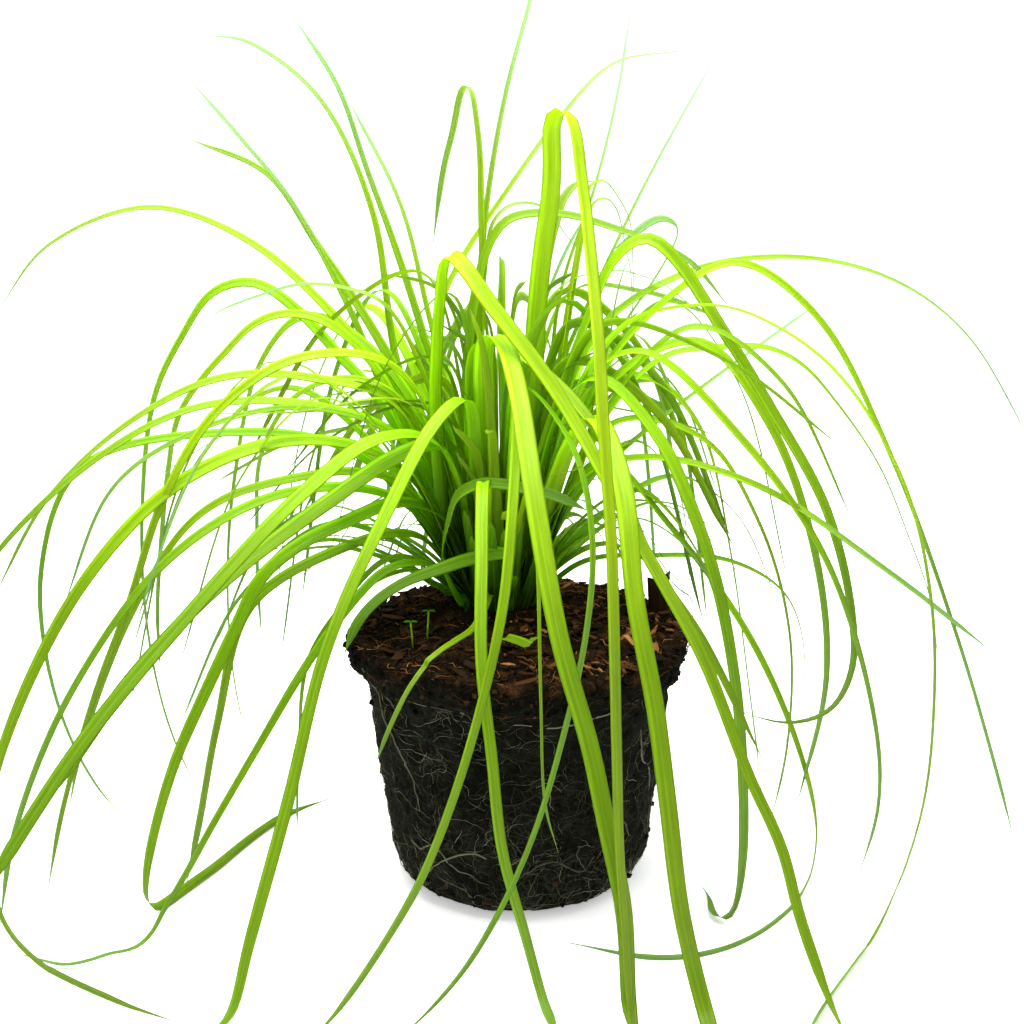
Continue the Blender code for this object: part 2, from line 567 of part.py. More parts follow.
def blade(name, points, width, keep, lean, collection, twist=0.0, to_front=0.0):
    """A keeled blade: flat above, a ridge below, rising from the crown and running out to a point."""
    away = max(points, key=lambda p: (p.x - CROWN_X) ** 2 + (p.y - CROWN_Y) ** 2)
    heading = math.atan2(away.y - CROWN_Y, away.x - CROWN_X)
    from_front = (math.degrees(heading) + 90.0 + 180.0) % 360.0 - 180.0
    facing_turn = heading - math.radians(from_front) * to_front
    side = Vector((-math.sin(facing_turn), math.cos(facing_turn), 0.0))
    curve = eased([clear_of_ball(p) for p in smooth_curve(points, CURVE_STEPS)])
    kept = spaced(curve, kept_points(curve, CHORD_TOLERANCE), LEAST_STEP + 0.5 * width)
    normals = carried_normals(curve, side)
    middle = CURVE_STEPS // 2
    toward = -1.0 if heading_at(curve, middle).cross(normals[middle]).y > 0.0 else 1.0
    sections = []
    for i in kept[:-1]:
        along = i / CURVE_STEPS
        ahead = heading_at(curve, i)
        across = ahead.cross(normals[i]).normalized()
        rise = min(0.3 + 1.6 * along, 1.0)
        settle = min(max(curve[i].z / 30.0, 0.0), 1.0)
        angle = math.radians((lean * toward + twist * along) * rise * settle)
        facing = normals[i] * math.cos(angle) + across * math.sin(angle)
        over = ahead.cross(facing).normalized()
        full = breadth(along, keep)
        half = max(width * full, 1.2) / 2
        depth = KEEL_DEPTH + (TIP_KEEL_DEPTH - KEEL_DEPTH) * along
        ring = [curve[i] - over * half, curve[i] + over * half, curve[i] - facing * depth]
        low = min(v.z for v in ring)
        if low < FLOOR_CLEARANCE:
            ring = [v + Vector((0.0, 0.0, FLOOR_CLEARANCE - low)) for v in ring]
        sections.append(ring)
    tip = curve[-1]
    tip.z = max(tip.z, LOWEST_TIP)
    return loft(name, sections, tip, collection)


def foot(turn, rng):
    """Where a blade starts, inside the crown's core on the side it grows toward."""
    radius = FOOT_RADIUS * rng.uniform(0.35, 0.85)
    angle = math.radians(turn + rng.uniform(-25.0, 25.0))
    return Vector((CROWN_X + radius * math.cos(angle), CROWN_Y + radius * math.sin(angle), FOOT_HEIGHT))


def nudged(point, rng):
    """The point moved a hair, so that no two blades run through each other edge on edge."""
    return point + Vector([rng.uniform(-JITTER, JITTER) for _ in range(3)])


def station(turn, reach, height):
    angle = math.radians(turn)
    return Vector((CROWN_X + reach * math.cos(angle), CROWN_Y + reach * math.sin(angle), height))


def forward_points(places, rng):
    """The foot and the nudged stations of a blade that is given in the part's frame."""
    inward = Vector((places[0][0] - CROWN_X, places[0][1] - CROWN_Y, 0.0))
    if inward.length > FORWARD_FOOT:
        inward *= FORWARD_FOOT / inward.length
    start = Vector((CROWN_X + inward.x, CROWN_Y + inward.y, FOOT_HEIGHT))
    return [start] + [nudged(Vector(p), rng) for p in places]


def grown_blade(kind, index, rng):
    """Stations of one blade of the mass, by its kind's ranges; the front is left open as in the photo."""
    name, _, _, apex_reach, apex_height, tip_reach, tip_height, width = kind
    turn = (index * GOLDEN_TURN) % 360.0
    if name != "upright":
        turn = 90.0 + (turn - 180.0) * BACK_SPREAD
    share = rng.random()
    reach = apex_reach[0] + (apex_reach[1] - apex_reach[0]) * share
    height = apex_height[0] + (apex_height[1] - apex_height[0]) * rng.random()
    end = tip_reach[0] + (tip_reach[1] - tip_reach[0]) * share
    low = tip_height[0] + (tip_height[1] - tip_height[0]) * rng.random()
    if name == "upright":
        stations = [(0.45 * reach, FOOT_HEIGHT + 0.5 * (height - FOOT_HEIGHT)), (reach, height - 4.0),
                    (end, height + low)]
    else:
        stations = [
            (0.50 * reach, FOOT_HEIGHT + 0.68 * (height - FOOT_HEIGHT)),
            (0.96 * reach, height),
            (0.5 * (reach + end), height - 0.26 * (height - low)),
            (end, low),
        ]
    swing = rng.uniform(-9.0, 9.0)
    points = [station(turn + swing * i / len(stations), r, z) for i, (r, z) in enumerate(stations)]
    return [foot(turn, rng)] + points, rng.uniform(*width)


def build_leaves(leaf, plant):
    rng = random.Random(SEED)
    blades = new_collection("blades", hidden=True)
    for index, (width, keep, lean, stations) in enumerate(ARCHING_BLADES):
        points = [foot(stations[0][0], rng)] + [nudged(station(*s), rng) for s in stations]
        blade(f"arching_{index}", points, width, keep, lean, blades)
    for index, (width, keep, lean, places) in enumerate(FORWARD_BLADES):
        blade(f"forward_{index}", forward_points(places, rng), width, keep, lean, blades)
    for kind in GROWN_BLADES:
        for index in range(kind[1]):
            points, width = grown_blade(kind, index + len(kind[0]), rng)
            lean = rng.uniform(-20.0, 35.0)
            twist = rng.uniform(-15.0, 15.0)
            blade(f"{kind[0]}_{index}", points, width, GROWN_KEEP, lean, blades, twist, kind[2])
    outline = (
        (0.0, CORE_TOP),
        (CORE_TOP_RADIUS, CORE_TOP),
        (CORE_TOP_RADIUS + 3.0, (CORE_SHOULDER + CORE_TOP) / 2),
        (CORE_RADIUS, CORE_SHOULDER),
        (CORE_RADIUS, CORE_BOTTOM),
        (0.0, CORE_BOTTOM),
    )
    leaves = turned("sedge_leaves", outline, CORE_FACETS, (CROWN_X, CROWN_Y), plant)
    apply_boolean(leaves, "UNION", blades, "MANIFOLD")
    keep_outer_shell(leaves)
    finish(leaves, leaf)


def ball_point(turn, radius, height, rough):
    """A point of the ball's skin: the pot's round, worn and crumbled by a few fixed waves."""
    wave = (
        math.sin(3.0 * turn + 0.045 * height + 0.6)
        + 0.8 * math.sin(7.0 * turn - 0.09 * height + 2.1)
        + 0.7 * math.sin(13.0 * turn + 0.21 * height)
        + 0.5 * math.sin(23.0 * turn - 0.33 * height + 1.0)
    )
    out = radius + rough * wave / 1.8
    return Vector((out * math.cos(turn), out * math.sin(turn), height))


def ball_surface(turn, height):
    return ball_point(turn, wall_radius(height), height, BALL_ROUGHNESS)


def crumble(ball, rng):
    """Moves the turned skin by the fixed waves, and its lip and soil a little up and down."""
    for vertex in ball.data.vertices:
        x, y, height = vertex.co / MM
        radius, turn = math.hypot(x, y), math.atan2(y, x)
        if radius < 1.0:
            continue
        lip = radius > LIP_INNER_RADIUS and height > SHOULDER_HEIGHT
        point = ball_point(turn, radius, height, LIP_ROUGHNESS if lip else BALL_ROUGHNESS)
        if lip:
            point.z += 1.1 * math.sin(5.0 * turn + height) + rng.uniform(-0.7, 0.7)
        elif height > SHOULDER_HEIGHT:
            point.z += rng.uniform(-0.8, 0.8)
        elif height < BASE_EDGE:
            point.z = height
        vertex.co = point * MM


def chip(name, centre, size, yaw, tilt, collection):
    """A flake of bark: a block, narrower at one end, half sunk in the soil."""
    along = Vector((math.cos(yaw), math.sin(yaw), tilt)).normalized()
    across = Vector((-math.sin(yaw), math.cos(yaw), 0.0))
    shape = bmesh.new()
    bmesh.ops.create_cube(shape, size=1.0)
    for vertex in shape.verts:
        narrow = CHIP_NARROW_END if vertex.co.x < 0.0 else 1.0
        length, width, thickness = (share * full for share, full in zip(vertex.co, size))
        vertex.co = Vector((length, width * narrow, thickness)) * MM
    turn = Matrix((along, across, along.cross(across))).transposed().to_4x4()
    bmesh.ops.transform(shape, matrix=Matrix.Translation(centre * MM) @ turn, verts=shape.verts)
    return from_bmesh(name, shape, collection)


def wall_root(name, places, collection):
    """A root that lies half bedded in the wall and dives in at both ends."""
    points = [ball_surface(math.radians(t), z) for t, z in places]
    path = smooth_curve(points, 4 * (len(points) - 1))
    bedded = []
    for i, point in enumerate(path):
        turn = math.atan2(point.y, point.x)
        out = Vector((math.cos(turn), math.sin(turn), 0.0))
        sink = ROOT_END_SINK if i in (0, len(path) - 1) else -ROOT_RISE
        bedded.append(ball_surface(turn, point.z) - out * sink)
    return tube(name, bedded, ROOT_RADIUS, 0, collection)


def build_root_ball(soil, plant):
    rng = random.Random(SEED + 1)
    outline = [(0.0, SOIL_TOP)] + list(reversed(BALL_PROFILE)) + [(0.0, 0.0)]
    ball = turned("root_ball", outline, BALL_FACETS, (0.0, 0.0), plant)
    crumble(ball, rng)

    lumps = new_collection("lumps", hidden=True)
    for index, (x, y) in enumerate(chip_places()):
        size = (rng.uniform(*CHIP_LENGTH), rng.uniform(*CHIP_WIDTH), CHIP_THICKNESS)
        edge = min(math.hypot(x, y) / SOIL_RADIUS, 1.0)
        top = SOIL_TOP - 0.5 - SOIL_EDGE_DROP * edge + rng.uniform(-0.2, 0.7)
        chip(f"chip_{index}", Vector((x, y, top)), size, rng.uniform(0.0, math.pi),
             rng.uniform(-CHIP_TILT, CHIP_TILT), lumps)
    distance, turn, width, thickness, height = RAISED_CHIP
    turn = math.radians(turn)
    spot = Vector((distance * math.cos(turn), distance * math.sin(turn), LIP_TOP))
    chip("raised_chip", spot, (thickness, width, height), turn, 0.12, lumps)
    for index, places in enumerate(WALL_ROOTS):
        wall_root(f"root_{index}", places, lumps)
    apply_boolean(ball, "UNION", lumps, "MANIFOLD")

    holes = new_collection("holes", hidden=True)
    cylinder("socket", (CROWN_X, CROWN_Y), CORE_RADIUS + SOCKET_GAP, CORE_BOTTOM - SOCKET_GAP,
             SOIL_TOP + 16.0, CORE_FACETS, holes)
    for name, x, y, _, _ in SEEDLINGS:
        cylinder(name + "_hole", (x, y), SEEDLING_STEM_RADIUS + SOCKET_GAP, SOIL_TOP - 4.0 - SEEDLING_FOOT,
                 SOIL_TOP + 10.0, 8, holes)
    apply_boolean(ball, "DIFFERENCE", holes, "MANIFOLD")
    finish(ball, soil, smooth_angle=40.0)


def chip_places():
    """Spots for the bark, spread over the soil by the golden angle, clear of the crown and the seedlings."""
    spots = []
    index = 0
    while len(spots) < CHIP_COUNT:
        index += 1
        distance = (CHIP_FIELD * math.sqrt((index + 0.5) / (CHIP_COUNT * 1.25))) % (CHIP_FIELD + 2.0)
        angle = math.radians(index * GOLDEN_TURN)
        x, y = distance * math.cos(angle), distance * math.sin(angle)
        near_crown = math.hypot(x - CROWN_X, y - CROWN_Y) < CHIP_ROOM_AT_CROWN
        near_seedling = any(math.hypot(x - s[1], y - s[2]) < CHIP_ROOM_AT_SEEDLING for s in SEEDLINGS)
        if not near_crown and not near_seedling:
            spots.append((x, y))
    return spots


def build_seedling(name, x, y, height, lean, weed, plant):
    """A hair-thin stem with a pair of seed leaves, standing in its own small hole."""
    bottom = SOIL_TOP - 4.0 - SEEDLING_FOOT + SOCKET_GAP
    top = SOIL_TOP - 4.0 + height
    stem = tube(name, [Vector((x, y, bottom)), Vector((x, y, SOIL_TOP)), Vector((x + lean, y, top))],
                SEEDLING_STEM_RADIUS, 1, plant)
    length, width, thickness = SEEDLING_LEAF
    pair = new_collection(name + "_leaves", hidden=True)
    for side in (-1.0, 1.0):
        shape = bmesh.new()
        bmesh.ops.create_uvsphere(shape, u_segments=10, v_segments=6, radius=0.5)
        bmesh.ops.scale(shape, vec=Vector((length, width, thickness)) * MM, verts=shape.verts)
        centre = Vector((x + lean + side * 0.42 * length, y, top - 0.2))
        place = Matrix.Translation(centre * MM) @ Matrix.Rotation(-side * math.radians(14.0), 4, "Y")
        bmesh.ops.transform(shape, matrix=place, verts=shape.verts)
        from_bmesh(f"{name}_leaf_{int(side)}", shape, pair)
    apply_boolean(stem, "UNION", pair, "EXACT")
    finish(stem, weed, smooth_angle=50.0)


def main():
    clear_scene()
    plant = new_collection("carex_sedge")
    build_root_ball(material("soil"), plant)
    build_leaves(material("leaf"), plant)
    weed = material("weed")
    for name, x, y, height, lean in SEEDLINGS:
        build_seedling(name, x, y, height, lean, weed, plant)


if __name__ == "__main__":
    main()
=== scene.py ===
"""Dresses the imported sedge: veined blades over the leaf solid, rooted soil with bark over the root ball.

The blade stations repeat those of the model's source, so every blade lies on its solid. Stations are in
millimetres, and the camera, the floor and the lights are in metres.
"""

import math
import random

import bmesh
import bpy
import numpy as np
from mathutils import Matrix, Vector, noise


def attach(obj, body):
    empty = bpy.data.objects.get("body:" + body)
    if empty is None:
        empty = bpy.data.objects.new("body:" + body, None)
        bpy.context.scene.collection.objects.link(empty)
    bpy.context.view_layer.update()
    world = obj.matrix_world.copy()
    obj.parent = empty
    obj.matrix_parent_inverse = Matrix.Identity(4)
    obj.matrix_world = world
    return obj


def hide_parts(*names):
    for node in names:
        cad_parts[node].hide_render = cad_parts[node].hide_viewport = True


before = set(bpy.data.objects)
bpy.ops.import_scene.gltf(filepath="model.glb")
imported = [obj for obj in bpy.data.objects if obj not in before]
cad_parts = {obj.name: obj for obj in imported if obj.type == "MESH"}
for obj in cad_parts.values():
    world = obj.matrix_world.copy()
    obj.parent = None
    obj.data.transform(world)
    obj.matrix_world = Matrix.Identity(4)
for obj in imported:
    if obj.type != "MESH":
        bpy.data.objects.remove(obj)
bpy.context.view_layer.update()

MM = 0.001
FULL_TURN = 2.0 * math.pi
SEED = 1420

# Root ball: radius and height up the wall, round the lip and over the soil
BALL_PROFILE = (
    (34.0, 0.0), (44.0, 0.6), (50.5, 6.0), (53.5, 14.0), (55.5, 30.0), (57.5, 47.0), (59.5, 64.0),
    (61.5, 80.0), (63.5, 93.0), (69.0, 96.0), (70.5, 102.0), (67.5, 108.0), (61.0, 107.0), (50.0, 108.5),
    (36.0, 111.0), (18.0, 113.0),
)
BALL_ROUGHNESS = 0.9
LIP_ROUGHNESS = 1.7
SOIL_TOP = 113.5
SOIL_MIDDLE = 113.2
SOIL_DROP = 6.2
SOIL_RADIUS = 62.0
SOIL_EDGE = 68.0
WALL_MEAN_RADIUS = 57.0
LIP_UNDERSIDE = 102.0
RIM_INNER_RADIUS = 66.0
# Stretches of the outline, counted from the middle of the base, that make the lip, and where the soil begins
LIP_PARTS = range(9, 13)
SOIL_PART = 12
BALL_ROWS = 150
BALL_COLUMNS = 320

# Crown and blades
CROWN_X = -8.0
CROWN_Y = 18.0
CORE_RADIUS = 19.5
FOOT_HEIGHT = 104.0
FOOT_RADIUS = 13.0
BALL_CLEARANCE = 5.0
FLOOR_CLEARANCE = 0.5
JITTER = 0.7
FORWARD_FOOT = 10.4
GROWN_KEEP = 0.3
BACK_SPREAD = 0.66
GOLDEN_TURN = 137.508
CURVE_STEPS = 72
ARCHING_STEPS = 96
FORWARD_STEPS = 90
FINE_STEPS = 36
SHEATH_STEPS = 16
BLADE_THICKNESS = 0.32
FOLD = 0.42
WIDEST_AT = 0.12
TIP_FROM = 0.93

# Camera, worked out from the rim and the base of the root ball in the photo
CAMERA_PLACE = (-0.003, -0.943, 0.441)
CAMERA_DIP = 16.7
FOCAL_PIXELS = 2410.0
PHOTO_WIDTH = 1024.0
SENSOR = 36.0

# Studio: the floor, the sky's strength, and soft lights by name, place, size and power
FLOOR_SIZE = 60.0
FLOOR_DROP = 0.0002
FLOOR_GLOW = 0.40
SKY_STRENGTH = 0.85
LIT_POINT = (0.0, 0.0, 0.15)
LIGHTS = (
    ("key", (-0.7, 0.45, 1.8), 1.2, 25.0),
    ("overhead", (-0.03, 0.0, 0.84), 0.5, 11.5),
    ("front", (-0.5, -1.6, 1.1), 1.0, 3.0),
    ("side", (1.3, 0.3, 1.3), 1.0, 9.0),
)

# Blades measured one by one: width, share of it kept to the end, lean of the face to the front in degrees,
# turn about the crown in degrees (0 right, 90 back), and stations as reach from the crown's axis and height,
# after a turn of their own where there are three numbers
ARCHING_BLADES = (
    # Far left, rising high, thin tips
    (4.8, 0.3, 50, 140, (30, 160), (56, 205), (71, 272), (99, 315), (140, 336), (167, 338)),
    (5.6, 0.3, 50, 135, (28, 170), (46, 220), (65, 262), (79, 286), (96, 320), (123, 346)),
    (4.6, 0.3, 50, 120, (34, 175), (60, 225), (84, 268), (134, 309)),
    (7.0, 0.3, 50, 150, (34, 180), (62, 224), (90, 257), (114, 284), (154, 297)),
    (5.0, 0.3, 45, 152, (50, 185), (73, 234), (101, 277), (120, 297), (148, 322)),
    (6.2, 0.3, 45, 160, (44, 197), (71, 229), (111, 259), (158, 271), (208, 251), (236, 220)),
    # Left arches that fall behind the front ones
    (6.0, 0.45, 50, 176, (51, 212), (72, 233), (88, 236), (101, 231), (113, 219), (124, 207), (133, 191),
     (139, 166), (144, 137), (146, 106), (146, 74)),
    (4.4, 0.3, 40, 172, (29, 205), (47, 239), (65, 246), (83, 246), (100, 241), (117, 234), (125, 230)),
    (6.2, 0.4, 50, 170, (48, 194), (67, 216), (84, 234), (103, 246), (121, 241), (134, 224), (148, 196),
     (156, 140), (155, 90), (147, 46), (132, 6)),
    (6.0, 0.4, 50, 160, (44, 205), (86, 230), (108, 209), (121, 158), (127, 110), (126, 66), (120, 28)),
    (4.6, 0.4, 50, 182, (41, 201), (63, 210), (82, 204), (93, 191), (99, 174), (101, 152), (101, 126),
     (100, 96)),
    (6.2, 0.4, 45, 200, (43, 217), (84, 225), (118, 206), (140, 174), (157, 130), (172, 95), (187, 46),
     (196, 6)),
    (6.6, 0.4, 35, 185, (41, 198), (75, 211), (112, 212), (148, 196), (185, 163), (210, 122)),
    (6.8, 0.4, 35, 190, (40, 185), (72, 201), (120, 203), (159, 187), (204, 148), (226, 112)),
    (5.4, 0.3, 40, 195, (42, 186), (87, 203), (132, 194), (160, 174), (182, 126)),
    (5.6, 0.4, 50, 180, (60, 178), (124, 186), (174, 172), (192, 128), (189, 70), (172, 28), (151, 3)),
    (7.2, 0.5, 50, 200, (43, 176), (88, 192), (134, 179), (176, 140), (211, 72), (201, 218, 40),
     (205, 218, 13), (212, 211, 3), (223, 203, 2), (233, 197, 2)),
    (6.0, 0.4, 45, 190, (44, 168), (92, 170), (124, 158), (151, 121), (175, 62), (184, 30)),
    (6.0, 0.4, 45, 205, (45, 163), (95, 172), (141, 152), (183, 105), (210, 50), (219, 6)),
    # Wide pale blades to the front left
    (9.2, 0.7, 20, 215, (30, 186), (58, 193), (95, 176), (145, 137), (193, 95), (240, 38)),
    (10.0, 0.7, 15, 210, (26, 184), (46, 184), (78, 168), (124, 142), (163, 111), (205, 62)),
    (7.4, 0.5, 40, 205, (24, 152), (45, 163), (67, 158), (88, 150), (106, 138), (117, 120), (130, 95),
     (144, 67), (153, 40), (158, 19), (158, 8), (204, 155, 3), (203, 149, 2), (200, 141, 2), (196, 132, 2),
     (190, 122, 2), (181, 113, 2), (171, 106, 2), (160, 100, 2), (148, 92, 2)),
    (6.2, 0.6, 35, 200, (36, 146), (74, 142), (108, 124), (123, 76), (132, 32), (138, 5)),
    (5.4, 0.4, 25, 215, (28, 132), (54, 138), (78, 121), (97, 101), (116, 76), (138, 47), (152, 27),
     (214, 160, 15), (214, 167, 6), (214, 175, 2), (214, 184, 2), (214, 194, 2), (213, 203, 2),
     (211, 211, 2), (208, 217, 2)),
    (8.6, 0.6, 10, 236, (18, 176), (25, 206), (44, 201), (80, 170), (116, 127), (142, 74), (169, 24),
     (237, 183, 4), (238, 198, 2), (239, 214, 2)),
    (3.6, 0.4, 30, 207, (36, 132), (62, 128), (86, 104), (92, 60), (94, 26)),
    # Right side
    (7.0, 0.6, 45, 350, (24, 200), (38, 240), (48, 262), (59, 270), (70, 263), (90, 235), (111, 201),
     (134, 161), (146, 118), (148, 92), (139, 74), (122, 67), (102, 70)),
    (6.0, 0.6, 45, 355, (42, 205), (81, 227), (110, 194), (130, 142), (138, 84), (127, 24)),
    (5.0, 0.5, 35, 340, (36, 210), (60, 226), (102, 195), (138, 147), (161, 84), (164, 46), (156, 6)),
    (6.4, 0.75, 30, 326, (30, 200), (48, 217), (76, 195), (91, 169), (104, 138), (114, 98), (118, 62),
     (118, 26), (324, 119, 7), (321, 118, 2), (322, 110, 2), (329, 102, 2), (334, 95, 2)),
    (5.4, 0.4, 35, 340, (36, 170), (64, 182), (111, 174), (164, 144), (206, 116)),
    (4.0, 0.6, 35, 20, (40, 222), (80, 248), (130, 252), (178, 239), (217, 212), (256, 158)),
    (4.6, 0.5, 45, 355, (40, 208), (68, 244), (96, 260), (128, 238), (160, 180), (190, 104), (210, 46),
     (222, 5)),
    (5.4, 0.45, 20, 5, (46, 195), (68, 217), (89, 221), (110, 221), (125, 213), (142, 195), (160, 168),
     (174, 138), (184, 109), (190, 80)),
    (6.2, 0.8, 25, 330, (40, 215), (60, 240), (84, 249), (107, 250), (145, 232), (175, 191), (190, 145),
     (193, 98), (190, 64), (184, 34), (178, 14), (328, 175, 4), (321, 178, 2), (311, 188, 2), (304, 202, 2),
     (299, 212, 2)),
    (4.8, 0.3, 20, 30, (30, 150), (60, 172), (100, 194), (163, 225)),
    (3.2, 0.3, 25, 40, (30, 200), (55, 243), (84, 286), (119, 330)),
    (5.6, 0.6, 50, 40, (34, 190), (66, 222), (92, 248), (99, 260), (88, 266), (62, 256)),
    (5.2, 0.5, 35, 355, (41, 176), (70, 148), (104, 102), (127, 52), (136, 16), (348, 134, 3),
     (330, 134, 2), (312, 132, 2), (300, 122, 2), (286, 98, 2)),
    (4.4, 0.5, 35, 0, (46, 190), (83, 184), (108, 148), (122, 100), (123, 50), (115, 4)),
    (5.4, 0.5, 40, 20, (40, 200), (66, 205), (90, 182), (106, 122), (117, 60), (126, 5)),
    (4.4, 0.3, 25, 30, (34, 150), (66, 175), (88, 150), (97, 98)),
    (4.2, 0.3, 30, 10, (34, 128), (62, 130), (100, 126), (126, 108), (134, 72), (123, 30)),
)

# Blades that come forward over the ball or stand up behind it: width, kept share, lean, yellowing, depth of
# the green, and points in the part's frame
FORWARD_BLADES = (
    (6.2, 0.6, 6, 0.30, 0.2, (-14, 4, 135), (-14, -12, 172), (-14, -36, 178), (-14, -62, 157),
     (-14, -88, 123), (-11, -100, 92), (-6, -109, 57), (2, -117, 24), (9, -126, 4), (12, -143, 2),
     (15, -160, 2)),
    (6.6, 0.6, 80, 0.00, 0.9, (-27, 2, 126), (-31, 0, 140), (-29, -4, 155), (-26, -8, 166), (-21, -13, 172),
     (-15, -18, 175), (-6, -24, 177), (4, -30, 177), (14, -36, 176), (26, -43, 172)),
    (9.4, 0.7, 6, 0.30, 0.1, (-10, 10, 134), (-13, 5, 187), (-13, -8, 232), (-7, -24, 234), (-1, -44, 222),
     (6, -84, 188), (15, -110, 142), (25, -121, 104), (32, -128, 76), (38, -132, 44), (41, -136, 5),
     (42, -152, 2), (43, -166, 2)),
    (6.0, 0.5, 6, 0.50, 0.3, (-4, 8, 135), (-3, -4, 182), (-1, -24, 211), (-2, -66, 184), (-6, -92, 148),
     (-15, -105, 110), (-26, -113, 78), (-38, -120, 50), (-55, -127, 21), (-70, -134, 3), (-77, -152, 2)),
    (2.6, 0.4, 6, 0.75, 0.4, (-2, 6, 136), (3, -26, 174), (7, -62, 156), (8, -92, 112), (9, -104, 74),
     (14, -108, 55)),
    (7.2, 0.5, 6, 0.10, 0.8, (-2, 15, 134), (-3, 10, 186), (1, -2, 212), (20, -38, 196), (27, -66, 168),
     (24, -86, 136), (15, -103, 100), (6, -113, 68), (-7, -122, 40), (-22, -128, 17), (-36, -135, 3),
     (-44, -152, 2)),
    (9.0, 0.55, 6, 0.75, 0.1, (5, 18, 131), (4, 16, 171), (6, 14, 202), (7, 11, 236), (10, 9, 265),
     (12, 6, 287), (13, 2, 304), (13, 0, 315), (14, -4, 321), (17, -9, 323), (20, -14, 320), (22, -18, 311),
     (23, -23, 302), (25, -33, 290), (29, -76, 247), (30, -98, 215), (32, -113, 181), (33, -123, 147),
     (35, -130, 107), (36, -135, 70), (39, -138, 35), (41, -142, 6), (41, -158, 2), (41, -172, 2)),
    (9.0, 0.7, 6, 0.55, 0.4, (6, 12, 134), (20, -8, 188), (30, -34, 206), (38, -68, 190), (43, -97, 152),
     (49, -112, 118), (55, -122, 82), (60, -130, 44), (68, -137, 6), (72, -154, 2), (75, -170, 2)),
    (8.4, 0.5, 10, 0.35, 0.0, (-28, 12, 131), (-32, 10, 169), (-33, 8, 206), (-32, 4, 242), (-28, -3, 265),
     (-22, -12, 263), (-12, -22, 250), (14, -40, 220), (48, -75, 164), (69, -91, 129), (86, -105, 87),
     (98, -113, 60), (105, -121, 36), (117, -135, 4), (121, -153, 2)),
    (7.4, 0.5, 14, 0.30, 0.2, (-16, 18, 132), (-20, 12, 196), (-16, 4, 229), (4, -14, 224), (30, -36, 202),
     (51, -63, 156), (70, -74, 130), (93, -82, 84)),
    (3.6, 0.5, 10, 0.75, 0.3, (-12, 2, 122), (-15, -16, 121), (-19, -34, 120), (-25, -48, 120),
     (-33, -62, 119), (-42, -72, 110), (-50, -78, 96), (-56, -80, 80)),
    (5.0, 0.3, 6, 0.25, 0.3, (-12, 18, 132), (-17, 20, 200), (-14, 24, 268), (-6, 34, 321), (4, 48, 359),
     (9, 57, 376)),
    (5.8, 0.4, 6, 0.35, 0.2, (-12, 22, 130), (-18, 21, 192), (-16, 21, 229), (-15, 21, 262), (-15, 21, 283),
     (-16, 22, 301), (-17, 24, 316), (-19, 26, 325), (-21, 29, 328), (-23, 32, 325), (-27, 36, 309),
     (-30, 38, 294), (-33, 41, 278), (-36, 44, 261)),
    (3.0, 0.3, 6, 0.00, 0.6, (8, 26, 128), (17, 45, 237), (31, 60, 281), (42, 80, 318), (47, 100, 352)),
    (5.4, 0.4, 6, 0.35, 0.2, (-21, 20, 131), (-33, 20, 200), (-32, 22, 240), (-23, 26, 258), (-8, 32, 281),
     (17, 42, 314), (39, 52, 334), (65, 63, 338)),
    (6.6, 0.5, 45, 0.10, 0.6, (-20, 20, 131), (-22, 19, 200), (-20, 18, 232), (-17, 17, 251),
     (-12, 17, 266), (-5, 18, 275), (6, 20, 278), (22, 24, 276), (38, 26, 271), (54, 28, 265),
     (70, 30, 255), (86, 32, 238)),
    (5.2, 0.3, 10, 0.10, 0.7, (2, 24, 131), (2, 30, 190), (8, 38, 226), (17, 42, 254), (28, 46, 274)),
    (8.0, 0.5, 55, 0.05, 0.9, (-4, 2, 128), (-6, -4, 141), (-18, -10, 142), (-32, -18, 139),
     (-46, -26, 136), (-57, -33, 131), (-65, -39, 123), (-70, -43, 113)),
    (3.4, 0.5, 12, 0.60, 0.0, (-10, 22, 131), (-16, 22, 190), (-16, 22, 229), (-14, 24, 258),
     (-11, 25, 270), (-8, 26, 276), (-3, 28, 280), (2, 30, 280), (7, 32, 279), (11, 34, 276), (16, 36, 271),
     (20, 38, 265), (26, 40, 258)),
    (3.6, 0.6, 12, 0.60, 0.0, (4, 20, 131), (11, 18, 167), (15, 24, 203), (21, 30, 244), (26, 34, 276),
     (29, 36, 286), (33, 38, 289), (37, 39, 286), (41, 40, 281), (45, 40, 272), (47, 40, 254),
     (47, 40, 232), (45, 40, 220), (40, 40, 202)),
    (3.2, 0.5, 12, 0.50, 0.1, (4, 24, 131), (12, 22, 170), (18, 30, 210), (24, 38, 251), (28, 41, 271),
     (31, 43, 278), (34, 44, 280), (38, 45, 278), (41, 46, 272), (44, 47, 262), (47, 48, 245),
     (46, 48, 223)),
    (4.2, 0.5, 12, 0.30, 0.2, (-2, 20, 131), (2, 22, 200), (7, 26, 228), (12, 30, 239), (18, 33, 245),
     (24, 36, 249), (32, 38, 250), (42, 40, 250), (51, 40, 248), (59, 38, 245), (66, 36, 241),
     (72, 34, 236), (78, 32, 229)),
    (6.6, 0.6, 12, 0.40, 0.1, (2, 28, 131), (6, 34, 197), (9, 40, 229), (12, 45, 256), (15, 48, 270),
     (19, 51, 279), (25, 54, 284), (32, 57, 285)),
    (5.0, 0.5, 12, 0.60, 0.0, (2, 14, 131), (25, 6, 174), (31, 8, 203), (36, 10, 226), (39, 12, 242),
     (41, 14, 252), (44, 16, 260)),
)

